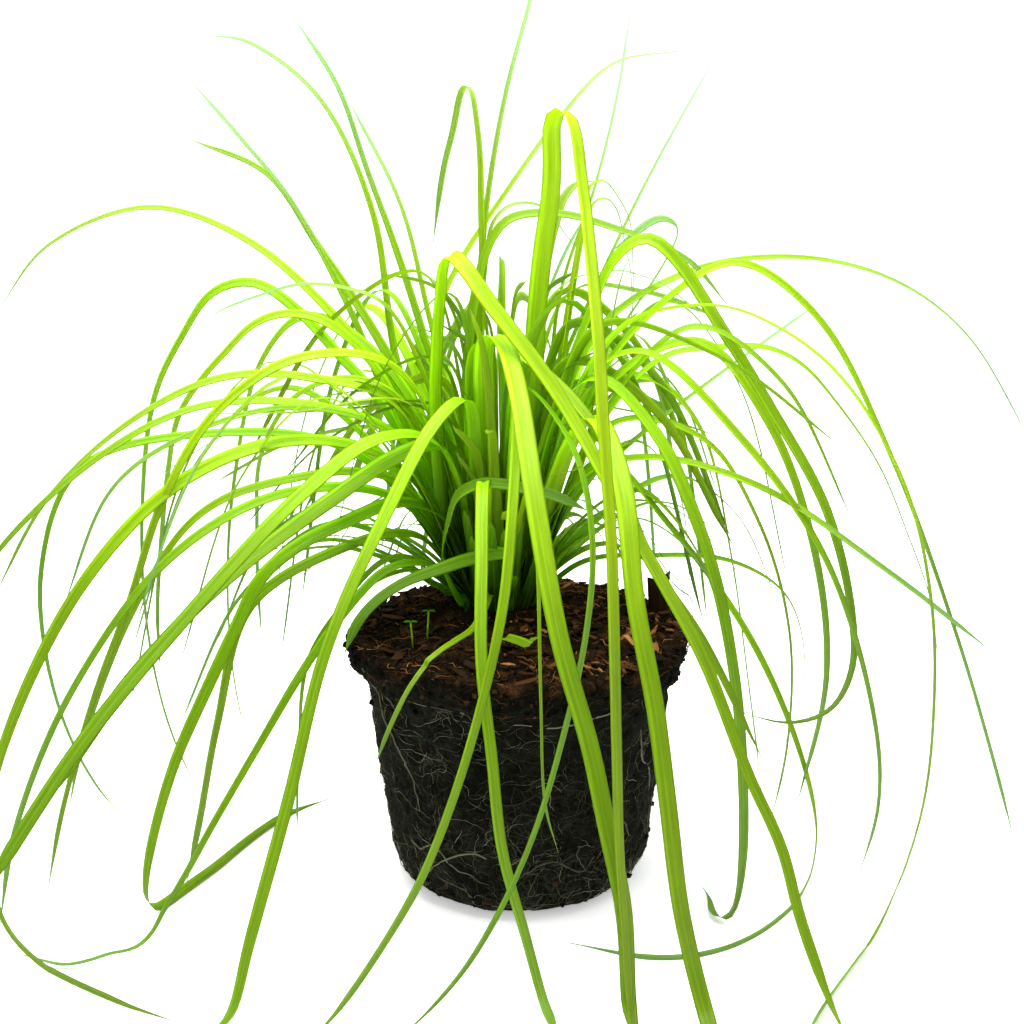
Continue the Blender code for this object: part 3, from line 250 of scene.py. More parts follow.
# Blades the photo only shows as a mass: kind, how many, how far their faces turn to the front, and ranges of
# apex reach, apex height, tip reach, tip height and width; an upright's tip height is counted from its apex
GROWN_BLADES = (
    ("crown", 16, 0.5, (22, 48), (196, 258), (72, 150), (110, 232), (7.4, 10.0)),
    ("upright", 11, 0.5, (8, 30), (186, 248), (22, 60), (-6, 22), (7.4, 10.0)),
    ("arched", 10, 0.0, (62, 96), (188, 240), (112, 168), (60, 170), (5.0, 7.6)),
    ("spreading", 11, 0.0, (52, 84), (138, 172), (92, 142), (74, 140), (4.6, 6.8)),
)
# Finer blades between them, which have no solid of their own
FINE_BLADES = (
    ("upright", 24, 0.6, (6, 30), (166, 238), (16, 52), (-6, 22), (6.0, 9.0)),
    ("crown", 11, 0.5, (24, 52), (176, 246), (84, 160), (90, 220), (5.4, 8.0)),
    ("spreading", 20, 0.0, (44, 76), (128, 158), (76, 126), (90, 130), (4.0, 6.4)),
    ("arched", 6, 0.0, (60, 100), (176, 244), (110, 176), (40, 150), (3.2, 5.2)),
)
FIRST_FINE = 31
# Short sheaths round the foot of the crown: how many, how far out and how high they bend outward
SHEATHS = 30
SHEATH_RADIUS = 15.0
SHEATH_BEND = 118.0

# Bark, crumbs and roots
CHIPS = 620
CRUMBS = 900
ROOT_TUFTS = 370
ROOT_LOW = 2.0
ROOT_HIGH = 96.0
THICK_ROOT_RADIUS = 0.42
FIBRES = 620
LIP_FIBRES = 260
FIBRE_REACH = 70.5
# The chip that stands up: distance, turn, width, thickness, height, and how high its middle is
RAISED_CHIP = (62.5, 20.0, 10.0, 4.6, 34.0, 109.0)
# Thick roots seen on the wall: points as turn about the ball in degrees and height
WALL_ROOTS = (
    ((205, 101), (206, 88), (209, 80), (216, 70), (223, 56), (226, 44)),
    ((214, 98), (216, 88), (221, 84)),
    ((268, 90), (284, 88), (300, 90), (318, 92)),
    ((212, 34), (222, 26), (232, 30), (241, 22), (250, 19)),
    ((224, 14), (236, 24), (250, 30), (264, 26), (276, 32)),
    ((262, 12), (272, 22), (284, 27), (298, 20), (306, 28)),
    ((300, 50), (308, 40), (318, 38), (326, 26)),
    ((322, 78), (328, 62), (334, 56), (338, 40)),
    ((20, 90), (28, 70), (40, 62), (46, 44)),
    ((60, 28), (74, 36), (86, 26), (102, 30)),
    ((98, 88), (108, 72), (122, 70), (130, 52)),
    ((140, 30), (154, 22), (166, 34), (180, 26)),
)
# A straw-coloured shred that lies across the front blades
STRAW = ((12.0, -48.0, 187.0), (21.0, -50.0, 190.0), (28.0, -52.0, 195.0))
# Weed seedlings: name, place, height and lean
SEEDLINGS = (
    ("seedling_left", -43.0, -27.0, 10.5, -0.8),
    ("seedling_right", -37.5, -21.0, 13.0, 0.8),
)


# Curves


def even_places(lengths, steps):
    """Where even steps fall along a line with these running lengths: a stretch and the share of it."""
    j = 0
    for k in range(steps + 1):
        want = lengths[-1] * k / steps
        while j < len(lengths) - 2 and lengths[j + 1] < want:
            j += 1
        yield j, (want - lengths[j]) / max(lengths[j + 1] - lengths[j], 1e-9)


def smooth_curve(points, steps):
    """A centripetal Catmull-Rom curve through the points, at even steps along it."""
    ends = [points[0] * 2 - points[1]] + points + [points[-1] * 2 - points[-2]]
    fine = []
    for i in range(1, len(ends) - 2):
        p0, p1, p2, p3 = ends[i - 1 : i + 3]
        t1 = max((p1 - p0).length, 1e-6) ** 0.5
        t2 = t1 + max((p2 - p1).length, 1e-6) ** 0.5
        t3 = t2 + max((p3 - p2).length, 1e-6) ** 0.5
        for k in range(12):
            t = t1 + (t2 - t1) * k / 12
            a1 = p0.lerp(p1, t / t1)
            a2 = p1.lerp(p2, (t - t1) / (t2 - t1))
            a3 = p2.lerp(p3, (t - t2) / (t3 - t2))
            fine.append(a1.lerp(a2, t / t2).lerp(a2.lerp(a3, (t - t1) / (t3 - t1)), (t - t1) / (t2 - t1)))
    fine.append(points[-1].copy())
    lengths = [0.0]
    for a, b in zip(fine, fine[1:]):
        lengths.append(lengths[-1] + (b - a).length)
    return [fine[j].lerp(fine[j + 1], share) for j, share in even_places(lengths, steps)]


def eased(curve):
    """The curve with its corners rounded and its ends kept."""
    return [curve[0]] + [(a + b * 2 + c) / 4 for a, b, c in zip(curve, curve[1:], curve[2:])] + [curve[-1]]


def wall_radius(height):
    wall = BALL_PROFILE[:SOIL_PART]
    for (r0, z0), (r1, z1) in zip(wall, wall[1:]):
        if z0 <= height <= z1:
            return r0 + (r1 - r0) * (height - z0) / (z1 - z0)
    return wall[-1][0]


def from_crown(x, y):
    return math.hypot(x - CROWN_X, y - CROWN_Y)


def clear_of_ball(point):
    """The point, moved up off the soil or out from the wall where it comes too near the ball."""
    radius = math.hypot(point.x, point.y)
    if from_crown(point.x, point.y) < CORE_RADIUS - 2.0 or point.z > SOIL_TOP + BALL_CLEARANCE:
        return point
    room = wall_radius(max(min(point.z, LIP_UNDERSIDE), 0.0)) + BALL_CLEARANCE
    if radius >= room:
        return point
    if point.z > 100.0 and radius < RIM_INNER_RADIUS:
        return Vector((point.x, point.y, SOIL_TOP + BALL_CLEARANCE))
    return Vector((point.x * room / radius, point.y * room / radius, point.z))


def breadth(along, keep):
    """A blade's width along it: widest just above the crown, then thinning toward the kept share."""
    run = max(along - WIDEST_AT, 0.0) / (1.0 - WIDEST_AT)
    return min(0.72 + 2.0 * along, 1.0) * (keep + (1.0 - keep) * (1.0 - run) ** 1.6)


def heading_at(curve, i):
    return (curve[min(i + 1, len(curve) - 1)] - curve[max(i - 1, 0)]).normalized()


def carried_normals(curve, side):
    """The blade's upper side at every point of its curve, carried along it without twisting."""
    normals = []
    for i in range(len(curve)):
        ahead = heading_at(curve, i)
        normal = side.cross(ahead) if not normals else normals[-1] - ahead * normals[-1].dot(ahead)
        normals.append(normal.normalized())
    if max(zip(curve, normals), key=lambda pair: pair[0].z)[1].z < 0.0:
        normals = [-normal for normal in normals]
    return normals


def polar(turn, radius, height):
    return Vector((radius * math.cos(turn), radius * math.sin(turn), height))


def station(turn, reach, height):
    return Vector((CROWN_X, CROWN_Y, 0.0)) + polar(math.radians(turn), reach, height)


def nudged(point, rng):
    return point + Vector([rng.uniform(-JITTER, JITTER) for _ in range(3)])


def foot(turn, rng):
    """Where a blade starts, inside the crown on the side it grows toward."""
    radius = FOOT_RADIUS * rng.uniform(0.35, 0.85)
    return station(turn + rng.uniform(-25.0, 25.0), radius, FOOT_HEIGHT)


def forward_points(places, rng):
    """The foot and the nudged stations of a blade that is given in the part's frame."""
    inward = Vector((places[0][0] - CROWN_X, places[0][1] - CROWN_Y, 0.0))
    if inward.length > FORWARD_FOOT:
        inward *= FORWARD_FOOT / inward.length
    start = Vector((CROWN_X + inward.x, CROWN_Y + inward.y, FOOT_HEIGHT))
    return [start] + [nudged(Vector(p), rng) for p in places]


def between(limits, share):
    return limits[0] + (limits[1] - limits[0]) * share


def grown_blade(kind, index, rng):
    """Stations of one blade of the mass, by its kind's ranges; the front is left open as in the photo."""
    name, _, _, apex_reach, apex_height, tip_reach, tip_height, width = kind
    turn = (index * GOLDEN_TURN) % 360.0
    if name != "upright":
        turn = 90.0 + (turn - 180.0) * BACK_SPREAD
    share = rng.random()
    reach = between(apex_reach, share)
    height = between(apex_height, rng.random())
    end = between(tip_reach, share)
    low = between(tip_height, rng.random())
    if name == "upright":
        stations = [
            (0.45 * reach, FOOT_HEIGHT + 0.5 * (height - FOOT_HEIGHT)),
            (reach, height - 4.0),
            (end, height + low),
        ]
    else:
        stations = [
            (0.50 * reach, FOOT_HEIGHT + 0.68 * (height - FOOT_HEIGHT)),
            (0.96 * reach, height),
            (0.5 * (reach + end), height - 0.26 * (height - low)),
            (end, low),
        ]
    swing = rng.uniform(-9.0, 9.0)
    points = [station(turn + swing * i / len(stations), r, z) for i, (r, z) in enumerate(stations)]
    return [foot(turn, rng)] + points, rng.uniform(*width)


# Meshes made in code


class Batch:
    """Many small closed shells gathered into one mesh, with values for the material at every point."""

    def __init__(self, *fields):
        self.points = []
        self.faces = []
        self.values = {field: [] for field in fields}
        self.count = 0

    def add(self, points, faces, **values):
        self.points.append(points)
        self.faces.extend(tuple(self.count + v for v in face) for face in faces)
        for field, value in values.items():
            self.values[field].append(np.broadcast_to(value, (len(points),)))
        self.count += len(points)

    def object(self, name, material, smooth=True):
        mesh = bpy.data.meshes.new(name)
        points = np.concatenate(self.points) * MM
        mesh.from_pydata(points.tolist(), [], self.faces)
        for field, parts in self.values.items():
            layer = mesh.attributes.new(field, "FLOAT", "POINT")
            layer.data.foreach_set("value", np.concatenate(parts).astype(np.float32))
        mesh.update()
        if smooth:
            mesh.shade_smooth()
        mesh.materials.append(material)
        obj = bpy.data.objects.new(name, mesh)
        bpy.context.scene.collection.objects.link(obj)
        return obj


def flat(rings):
    return np.array([tuple(p) for ring in rings for p in ring])


def ring_faces(rows, size):
    """Quads between rows of rings, and a cap at each end."""
    faces = []
    for i in range(rows - 1):
        for j in range(size):
            k = (j + 1) % size
            faces.append((i * size + j, i * size + k, (i + 1) * size + k, (i + 1) * size + j))
    faces.append(tuple(reversed(range(size))))
    faces.append(tuple((rows - 1) * size + j for j in range(size)))
    return faces


TOP_ACROSS = np.array([-1.0, -0.72, -0.4, 0.0, 0.4, 0.72, 1.0])
BOTTOM_ACROSS = np.array([0.72, 0.36, 0.0, -0.36, -0.72])
RING_ACROSS = np.concatenate([TOP_ACROSS, BOTTOM_ACROSS])
RING_IS_TOP = np.concatenate([np.ones(len(TOP_ACROSS)), np.zeros(len(BOTTOM_ACROSS))])


def fold_height(across, depth):
    """The blade's M: a groove along the middle, a ridge in each half, the edges drooping again."""
    away = np.abs(across)
    return depth * (1.55 * away - 1.0 * away**2.2)


def add_blade(
    batch, points, width, keep, lean, rng, twist=0.0, to_front=0.0, age=0.0, steps=CURVE_STEPS, depth=None,
    painted_shade=1.0,
):
    away = max(points, key=lambda p: (p.x - CROWN_X) ** 2 + (p.y - CROWN_Y) ** 2)
    heading = math.atan2(away.y - CROWN_Y, away.x - CROWN_X)
    from_front = (math.degrees(heading) + 90.0 + 180.0) % 360.0 - 180.0
    facing_turn = heading - math.radians(from_front) * to_front
    side = Vector((-math.sin(facing_turn), math.cos(facing_turn), 0.0))
    curve = eased([clear_of_ball(p) for p in smooth_curve(points, steps)])
    normals = carried_normals(curve, side)
    middle = steps // 2
    toward = -1.0 if heading_at(curve, middle).cross(normals[middle]).y > 0.0 else 1.0
    phase = rng.uniform(0.0, FULL_TURN)
    tone = rng.random()
    if depth is not None:
        tone = depth
    rings = []
    for i, place in enumerate(curve):
        along = i / steps
        ahead = heading_at(curve, i)
        across = ahead.cross(normals[i]).normalized()
        rise = min(0.3 + 1.6 * along, 1.0)
        settle = min(max(place.z / 30.0, 0.0), 1.0)
        sway = 5.0 * math.sin(9.0 * along + phase) * min(along / 0.2, 1.0)
        angle = math.radians((lean * toward + twist * along + sway) * rise * settle)
        facing = normals[i] * math.cos(angle) + across * math.sin(angle)
        over = ahead.cross(facing).normalized()
        full = breadth(along, keep)
        half = max(width * full * (1.0 + 0.025 * math.sin(23.0 * along + phase)), 0.5) / 2
        if along > TIP_FROM:
            half *= max((1.0 - along) / (1.0 - TIP_FROM), 0.12)
        lift = fold_height(RING_ACROSS, FOLD * half * (1.0 - 0.5 * along))
        thickness = BLADE_THICKNESS * (1.0 - 0.45 * np.abs(RING_ACROSS)) * (1.0 - 0.4 * along)
        lift = lift - (1.0 - RING_IS_TOP) * thickness
        ring = np.array(place)[None] + np.outer(RING_ACROSS * half, over) + np.outer(lift, facing)
        low = ring[:, 2].min()
        if low < FLOOR_CLEARANCE:
            ring[:, 2] += FLOOR_CLEARANCE - low
        rings.append(ring)
    size = len(RING_ACROSS)
    run = np.repeat(np.arange(steps + 1) / steps, size)
    length = sum((b - a).length for a, b in zip(curve, curve[1:]))
    # The along value is scaled by the shade factor: blades given a small one take only the dark crown
    # colours, as painted shade
    batch.add(
        np.concatenate(rings),
        ring_faces(steps + 1, size),
        along=run * painted_shade,
        across=np.tile(RING_ACROSS, steps + 1),
        tone=tone,
        age=age,
        breadth=width,
        reach=run * length,
    )


BLADE_FIELDS = ("along", "across", "tone", "age", "breadth", "reach")


def add_grown(batch, kinds, rng, looks, start=None, steps=CURVE_STEPS):
    for kind in kinds:
        first = len(kind[0]) if start is None else start
        for index in range(kind[1]):
            points, width = grown_blade(kind, index + first, rng)
            lean = rng.uniform(-20.0, 35.0)
            twist = rng.uniform(-15.0, 15.0)
            age = 0.7 * looks.random() ** 3
            add_blade(batch, points, width, GROWN_KEEP, lean, looks, twist, kind[2], age, steps)


def build_blades(leaf):
    """The same blades as the solid, drawn in the same order from the same seed, then the finer ones."""
    rng = random.Random(SEED)
    looks = random.Random(SEED + 7)
    arching = Batch(*BLADE_FIELDS)
    for width, keep, lean, turn, *stations in ARCHING_BLADES:
        points = [foot(turn, rng)]
        points += [nudged(station(*((turn, *s) if len(s) == 2 else s)), rng) for s in stations]
        age = 0.6 * looks.random() ** 2
        add_blade(arching, points, width, keep, lean, looks, age=age, steps=ARCHING_STEPS)
    forward = Batch(*BLADE_FIELDS)
    for width, keep, lean, age, depth, *places in FORWARD_BLADES:
        points = forward_points(places, rng)
        add_blade(forward, points, width, keep, lean, looks, age=age, steps=FORWARD_STEPS, depth=depth)
    grown = Batch(*BLADE_FIELDS)
    add_grown(grown, GROWN_BLADES, rng, looks)
    fine = Batch(*BLADE_FIELDS)
    add_grown(fine, FINE_BLADES, looks, looks, start=FIRST_FINE, steps=FINE_STEPS)
    for index in range(SHEATHS):
        turn = index * GOLDEN_TURN
        lean_out = looks.uniform(4.0, 16.0)
        top = looks.uniform(132.0, 168.0)
        points = [
            station(turn, 9.0 + 0.3 * (index % 5), FOOT_HEIGHT - 1.0),
            station(turn, SHEATH_RADIUS, SHEATH_BEND),
            station(turn, SHEATH_RADIUS + 0.45 * lean_out, 0.5 * (SHEATH_BEND + top)),
            station(turn, SHEATH_RADIUS + lean_out, top),
        ]
        width = looks.uniform(6.0, 9.0)
        age = looks.uniform(0.0, 0.5)
        # Sheaths take only the dark start of the colour ramps: painted shade at the foot of the crown
        add_blade(fine, points, width, 0.5, 0.0, looks, age=age, steps=SHEATH_STEPS, painted_shade=0.16)
    dress(arching.object("blades_arching", leaf), "leaf", "sedge_leaves")
    dress(forward.object("blades_forward", leaf), "leaf")
    dress(grown.object("blades_massed", leaf), "leaf")
    dress(fine.object("blades_fine", leaf), "leaf")


def dress(obj, slot, *nodes):
    """Fixes a piece to the plant and hides the solids that it stands for; the slot is not used."""
    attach(obj, "root")
    if nodes:
        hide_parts(*nodes)


# Root ball


def ball_wave(turn, height):
    return (
        math.sin(3.0 * turn + 0.045 * height + 0.6)
        + 0.8 * math.sin(7.0 * turn - 0.09 * height + 2.1)
        + 0.7 * math.sin(13.0 * turn + 0.21 * height)
        + 0.5 * math.sin(23.0 * turn - 0.33 * height + 1.0)
    )


def on_ball(turn, radius, height, rough):
    return polar(turn, radius + rough * ball_wave(turn, height) / 1.8, height)


def outward_at(point):
    return Vector((point.x, point.y, 0.0)).normalized()


def on_wall(turn, height):
    return on_ball(turn, wall_radius(height), height, BALL_ROUGHNESS)


def soil_height(x, y):
    return SOIL_MIDDLE - SOIL_DROP * min(math.hypot(x, y) / SOIL_RADIUS, 1.0) ** 1.6


def profile_samples(rows):
    """Even samples along the ball's outline, from the middle of the base round to the middle of the soil."""
    outline = [(0.5, 0.0)] + list(BALL_PROFILE) + [(0.5, SOIL_TOP)]
    lengths = [0.0]
    for (r0, z0), (r1, z1) in zip(outline, outline[1:]):
        lengths.append(lengths[-1] + math.hypot(r1 - r0, z1 - z0))
    samples = []
    for j, share in even_places(lengths, rows - 1):
        (r0, z0), (r1, z1) = outline[j : j + 2]
        samples.append((r0 + (r1 - r0) * share, z0 + (z1 - z0) * share, j))
    return samples


def build_soil(material):
    points = []
    for radius, height, part in profile_samples(BALL_ROWS):
        lip = part in LIP_PARTS
        rough = LIP_ROUGHNESS if lip else BALL_ROUGHNESS
        for k in range(BALL_COLUMNS):
            turn = FULL_TURN * k / BALL_COLUMNS
            point = on_ball(turn, radius, height, rough * min(radius / 20.0, 1.0))
            coarse = noise.fractal(point * 0.11, 0.9, 2.1, 5)
            lumps = noise.fractal(point * 0.30 + Vector((9.0, 0.0, 0.0)), 0.7, 2.2, 4)
            grain = noise.noise(point * 0.9)
            push = 0.7 * coarse + 0.5 * lumps + 0.4 * grain
            outward = outward_at(point)
            if part >= SOIL_PART:
                outward = Vector((0.0, 0.0, 1.0))
                push = 1.2 * coarse + 1.5 * lumps + 0.8 * grain
            elif lip:
                outward = (outward + Vector((0.0, 0.0, 0.7 * (part - LIP_PARTS[0])))).normalized()
                push = 1.3 * coarse + 2.0 * lumps + 0.8 * grain
            if height < 0.5:
                point.z = max(0.0, 0.4 + 0.5 * coarse)
            else:
                point += outward * push
                point.z = max(point.z, 0.2)
            points.append(point)
    batch = Batch()
    batch.add(np.array([tuple(p) for p in points]), ring_faces(BALL_ROWS, BALL_COLUMNS))
    dress(batch.object("soil_ball", material), "soil", "root_ball")


def add_tube(batch, curve, radius, sides, **values):
    """A thin root along a run of points, tapering to both ends."""
    rings = []
    for i, place in enumerate(curve):
        ahead = heading_at(curve, i)
        over = ahead.orthogonal().normalized()
        other = ahead.cross(over)
        share = i / (len(curve) - 1)
        thick = radius * (0.35 + 0.65 * math.sin(math.pi * min(max(share, 0.06), 0.94)))
        turns = [FULL_TURN * k / sides for k in range(sides)]
        rings.append([place + (over * math.cos(t) + other * math.sin(t)) * thick for t in turns])
    points = flat(rings)
    batch.add(points, ring_faces(len(curve), sides), **values)


def build_roots(material):
    """Thick roots where the photo shows them, and a web of finer ones in tufts, closer together low down."""
    rng = random.Random(SEED + 11)
    batch = Batch("tone")
    for places in WALL_ROOTS:
        knots = []
        for turn, height in places:
            point = on_wall(math.radians(turn), height)
            knots.append(point + outward_at(point) * 0.2)
        curve = smooth_curve(knots, 9 * (len(knots) - 1))
        wobble = [p + noise.noise_vector(p * 0.3) * 0.6 for p in curve]
        add_tube(batch, wobble, THICK_ROOT_RADIUS, 5, tone=rng.uniform(0.5, 0.9))
    for _ in range(ROOT_TUFTS):
        middle_turn = rng.uniform(0.0, FULL_TURN)
        middle = 3.0 + 92.0 * rng.random() ** 2
        tone = rng.random()
        for _ in range(rng.randint(3, 9)):
            turn = middle_turn + rng.gauss(0.0, 0.07)
            height = middle + rng.gauss(0.0, 4.0)
            heading = rng.uniform(0.0, FULL_TURN)
            step = rng.uniform(0.9, 1.7)
            curve = []
            for _ in range(rng.randint(7, 17)):
                place = on_wall(turn, min(max(height, ROOT_LOW), ROOT_HIGH))
                curve.append(place + outward_at(place) * (0.1 + 0.6 * rng.random()))
                heading += rng.uniform(-0.65, 0.65)
                turn += step * math.cos(heading) / WALL_MEAN_RADIUS
                height += 0.8 * step * math.sin(heading)
                if height < ROOT_LOW or height > ROOT_HIGH:
                    heading = -heading
            radius = rng.uniform(0.05, 0.13)
            add_tube(batch, curve, radius, 3, tone=min(1.0, max(0.0, tone + rng.gauss(0.0, 0.2))))
    dress(batch.object("root_net", material), "soil")


def build_fibres(material):
    """Coir fibres that lie over the soil and hang from the lip."""
    rng = random.Random(SEED + 17)
    batch = Batch("tone")
    for _ in range(FIBRES):
        distance = 69.0 * math.sqrt(rng.random()) ** 0.7
        turn = rng.uniform(0.0, FULL_TURN)
        x, y = distance * math.cos(turn), distance * math.sin(turn)
        if from_crown(x, y) < CORE_RADIUS + 2.0:
            continue
        heading = rng.uniform(0.0, FULL_TURN)
        step = rng.uniform(0.7, 1.5)
        curve = []
        for _ in range(rng.randint(6, 15)):
            radius = math.hypot(x, y)
            if radius > FIBRE_REACH:
                break
            lift = 0.9 + 1.4 * noise.noise(Vector((x, y, 3.0)) * 0.35)
            curve.append(Vector((x, y, soil_height(x, y) + lift)))
            heading += rng.uniform(-0.5, 0.5)
            x += step * math.cos(heading)
            y += step * math.sin(heading)
        if len(curve) > 3:
            add_tube(batch, curve, rng.uniform(0.08, 0.26), 3, tone=rng.random())
    for _ in range(LIP_FIBRES):
        turn = rng.uniform(0.0, FULL_TURN)
        height = rng.uniform(92.0, 107.0)
        curve = []
        heading = rng.choice((0.0, math.pi)) + rng.uniform(-0.9, 0.9)
        for _ in range(rng.randint(5, 11)):
            place = on_ball(turn, wall_radius(height) + 0.8, height, LIP_ROUGHNESS)
            curve.append(place + noise.noise_vector(place * 0.4) * 1.2)
            heading += rng.uniform(-0.5, 0.5)
            turn += 1.2 * math.cos(heading) / SOIL_EDGE
            height = min(max(height + 0.9 * math.sin(heading), 88.0), 107.5)
        add_tube(batch, curve, rng.uniform(0.08, 0.22), 3, tone=0.7 * rng.random())
    dress(batch.object("coir_fibres", material), "soil")


def squared(share, power):
    """A sine or cosine made fuller, so that a round outline turns boxy."""
    return math.copysign(abs(share) ** power, share)


def add_chip(batch, centre, length, width, thickness, yaw, pitch, rng, tone):
    """A flake of bark: an uneven long outline, a little bent, split ends, with a top and a bottom."""
    sides = 8
    along = Vector((math.cos(yaw) * math.cos(pitch), math.sin(yaw) * math.cos(pitch), math.sin(pitch)))
    across = Vector((-math.sin(yaw), math.cos(yaw), 0.0))
    up = along.cross(across)
    bend = rng.uniform(-0.5, 0.9)
    rings = []
    for level, swell in ((-0.5, 0.82), (-0.1, 1.0), (0.35, 1.0), (0.5, 0.78)):
        ring = []
        for k in range(sides):
            t = FULL_TURN * k / sides
            u = squared(math.cos(t), 0.6) * (0.5 + 0.13 * math.sin(5.0 * t + 7.0 * yaw))
            v = squared(math.sin(t), 0.7) * (0.5 + 0.16 * math.cos(4.0 * t - 9.0 * yaw))
            lift = level * thickness + bend * thickness * (u * u * 2.0)
            ring.append(centre + along * (u * length * swell) + across * (v * width * swell) + up * lift)
        rings.append(ring)
    points = flat(rings)
    grain = np.array([(Vector(p) - centre).dot(across) for p in points])
    # One draw stays unused, so that the later ones keep their values
    rng.random()
    batch.add(points, ring_faces(4, sides), tone=tone, grain=grain + rng.uniform(0.0, 90.0))


def build_bark(material):
    rng = random.Random(SEED + 21)
    batch = Batch("tone", "grain")
    for index in range(CHIPS):
        angle = math.radians(index * GOLDEN_TURN)
        distance = SOIL_EDGE * math.sqrt((index + 0.5) / CHIPS) + rng.uniform(-2.0, 1.0)
        x, y = distance * math.cos(angle), distance * math.sin(angle)
        if from_crown(x, y) < CORE_RADIUS - 1.0:
            continue
        length = 1.6 + 10.0 * rng.random() ** 3.2
        width = length * rng.uniform(0.2, 0.55)
        lift = 0.3 + 1.2 * noise.noise(Vector((x, y, 0.0)) * 0.3) + rng.uniform(0.0, 1.0)
        centre = Vector((x, y, soil_height(x, y) + lift))
        thickness = rng.uniform(0.4, 1.3)
        yaw = rng.uniform(0.0, FULL_TURN)
        pitch = rng.uniform(-0.5, 0.5)
        tone = rng.random() * (0.7 if x < -15.0 else 1.0)
        add_chip(batch, centre, length, width, thickness, yaw, pitch, rng, tone)
    distance, turn, width, thickness, height, middle = RAISED_CHIP
    turn = math.radians(turn)
    spot = polar(turn, distance, middle)
    add_chip(batch, spot, height * 0.95, width, thickness, turn + 1.3, 1.45, rng, tone=0.35)
    dress(batch.object("bark_chips", material, smooth=False), "soil")


def build_crumbs(material):
    rng = random.Random(SEED + 31)
    form = bmesh.new()
    bmesh.ops.create_icosphere(form, subdivisions=1, radius=1.0)
    shape = np.array([tuple(v.co) for v in form.verts])
    faces = [tuple(v.index for v in f.verts) for f in form.faces]
    form.free()
    batch = Batch("tone")
    for index in range(CRUMBS):
        turn = rng.uniform(0.0, FULL_TURN)
        where = rng.random()
        if where < 0.45:
            distance = SOIL_EDGE * math.sqrt(rng.random())
            x, y = distance * math.cos(turn), distance * math.sin(turn)
            if from_crown(x, y) < CORE_RADIUS:
                continue
            centre = Vector((x, y, soil_height(x, y) + 0.4))
        elif where < 0.8:
            height = rng.uniform(95.0, 108.0)
            centre = on_ball(turn, wall_radius(height), height, LIP_ROUGHNESS)
        else:
            centre = on_wall(turn, 3.0 + 90.0 * rng.random() ** 2)
        size = 0.5 + 1.5 * rng.random() ** 2.5
        shift = Vector((index, 0.0, 0.0))
        rough = np.array([1.0 + 0.35 * noise.noise(Vector(p) * 1.7 + shift) for p in shape])
        stretch = np.array([rng.uniform(0.7, 1.3), rng.uniform(0.7, 1.3), rng.uniform(0.6, 1.0)])
        batch.add(np.array(tuple(centre)) + shape * rough[:, None] * stretch * size, faces, tone=rng.random())
    dress(batch.object("soil_crumbs", material, smooth=False), "soil")


def build_seedlings(leaf):
    batch = Batch(*BLADE_FIELDS)
    rng = random.Random(SEED + 41)
    for _, x, y, height, lean in SEEDLINGS:
        bottom = SOIL_TOP - 8.0
        top = SOIL_TOP - 4.0 + height
        stem = [
            Vector((x, y, bottom)),
            Vector((x + 0.2 * lean, y, bottom + 0.4 * (top - bottom))),
            Vector((x + lean, y, top)),
        ]
        curve = smooth_curve(stem, 12)
        ring = [FULL_TURN * k / 6 for k in range(6)]
        around = [Vector((0.36 * math.cos(t), 0.36 * math.sin(t), 0.0)) for t in ring]
        points = np.array([tuple(p + out) for p in curve for out in around])
        share = np.repeat(np.linspace(0.0, 0.3, len(curve)), 6)
        batch.add(points, ring_faces(len(curve), 6), along=share, across=0.5, tone=0.3, age=0.7, breadth=1.0,
                  reach=share * 20.0)
        for side in (-1.0, 1.0):
            add_seed_leaf(batch, Vector((x + lean, y, top)), side, rng)
    dress(batch.object("seedlings_fine", leaf), "weed", "seedling_left", "seedling_right")


def add_seed_leaf(batch, base, side, rng):
    """A small oval leaf, thin, cupped a little and drooping at its end."""
    rows, columns = 8, 5
    top, bottom = [], []
    for i in range(rows):
        share = i / (rows - 1)
        half = 0.95 * math.sin(math.pi * min(0.08 + 0.88 * share, 1.0)) ** 0.7
        for j in range(columns):
            across = 2.0 * j / (columns - 1) - 1.0
            rise = 0.9 * share - 1.0 * share * share + 0.25 * across * across
            place = base + Vector((side * 2.7 * share, half * across, rise))
            top.append(place)
            bottom.append(place - Vector((0.0, 0.0, 0.25)))
    faces = []
    count = rows * columns
    for i in range(rows - 1):
        for j in range(columns - 1):
            a = i * columns + j
            faces.append((a, a + 1, a + columns + 1, a + columns))
            faces.append((count + a, count + a + columns, count + a + columns + 1, count + a + 1))
    edge = list(range(columns)) + [i * columns + columns - 1 for i in range(1, rows)]
    edge += [(rows - 1) * columns + j for j in range(columns - 2, -1, -1)]
    edge += [i * columns for i in range(rows - 2, 0, -1)]
    for a, b in zip(edge, edge[1:] + edge[:1]):
        faces.append((a, count + a, count + b, b))
    points = np.array([tuple(p) for p in top + bottom])
    batch.add(points, faces, along=0.10, across=0.3, tone=rng.random(), age=0.0, breadth=2.0, reach=40.0)


def add_scrap(batch, centre, along, across, length, width, pointed, age):
    """A cut piece of leaf: a thin strip, bent a little, square or pointed at its ends."""
    rows = 9
    up = along.cross(across).normalized()
    rings = []
    for i in range(rows):
        share = i / (rows - 1)
        half = width / 2 * ((1.0 - abs(2.0 * share - 1.0)) * 0.94 + 0.06 if pointed else 1.0)
        place = centre + along * (length * (share - 0.5)) - up * (1.6 * (share - 0.5) ** 2)
        lift = fold_height(RING_ACROSS, FOLD * half) - (1.0 - RING_IS_TOP) * 0.3
        rings.append(np.array(place)[None] + np.outer(RING_ACROSS * half, across) + np.outer(lift, up))
    run = np.repeat(np.linspace(0.4, 0.5, rows), len(RING_ACROSS))
    batch.add(np.concatenate(rings), ring_faces(rows, len(RING_ACROSS)), along=run,
              across=np.tile(RING_ACROSS, rows), tone=0.1, age=age, breadth=width, reach=run * length * 10.0)


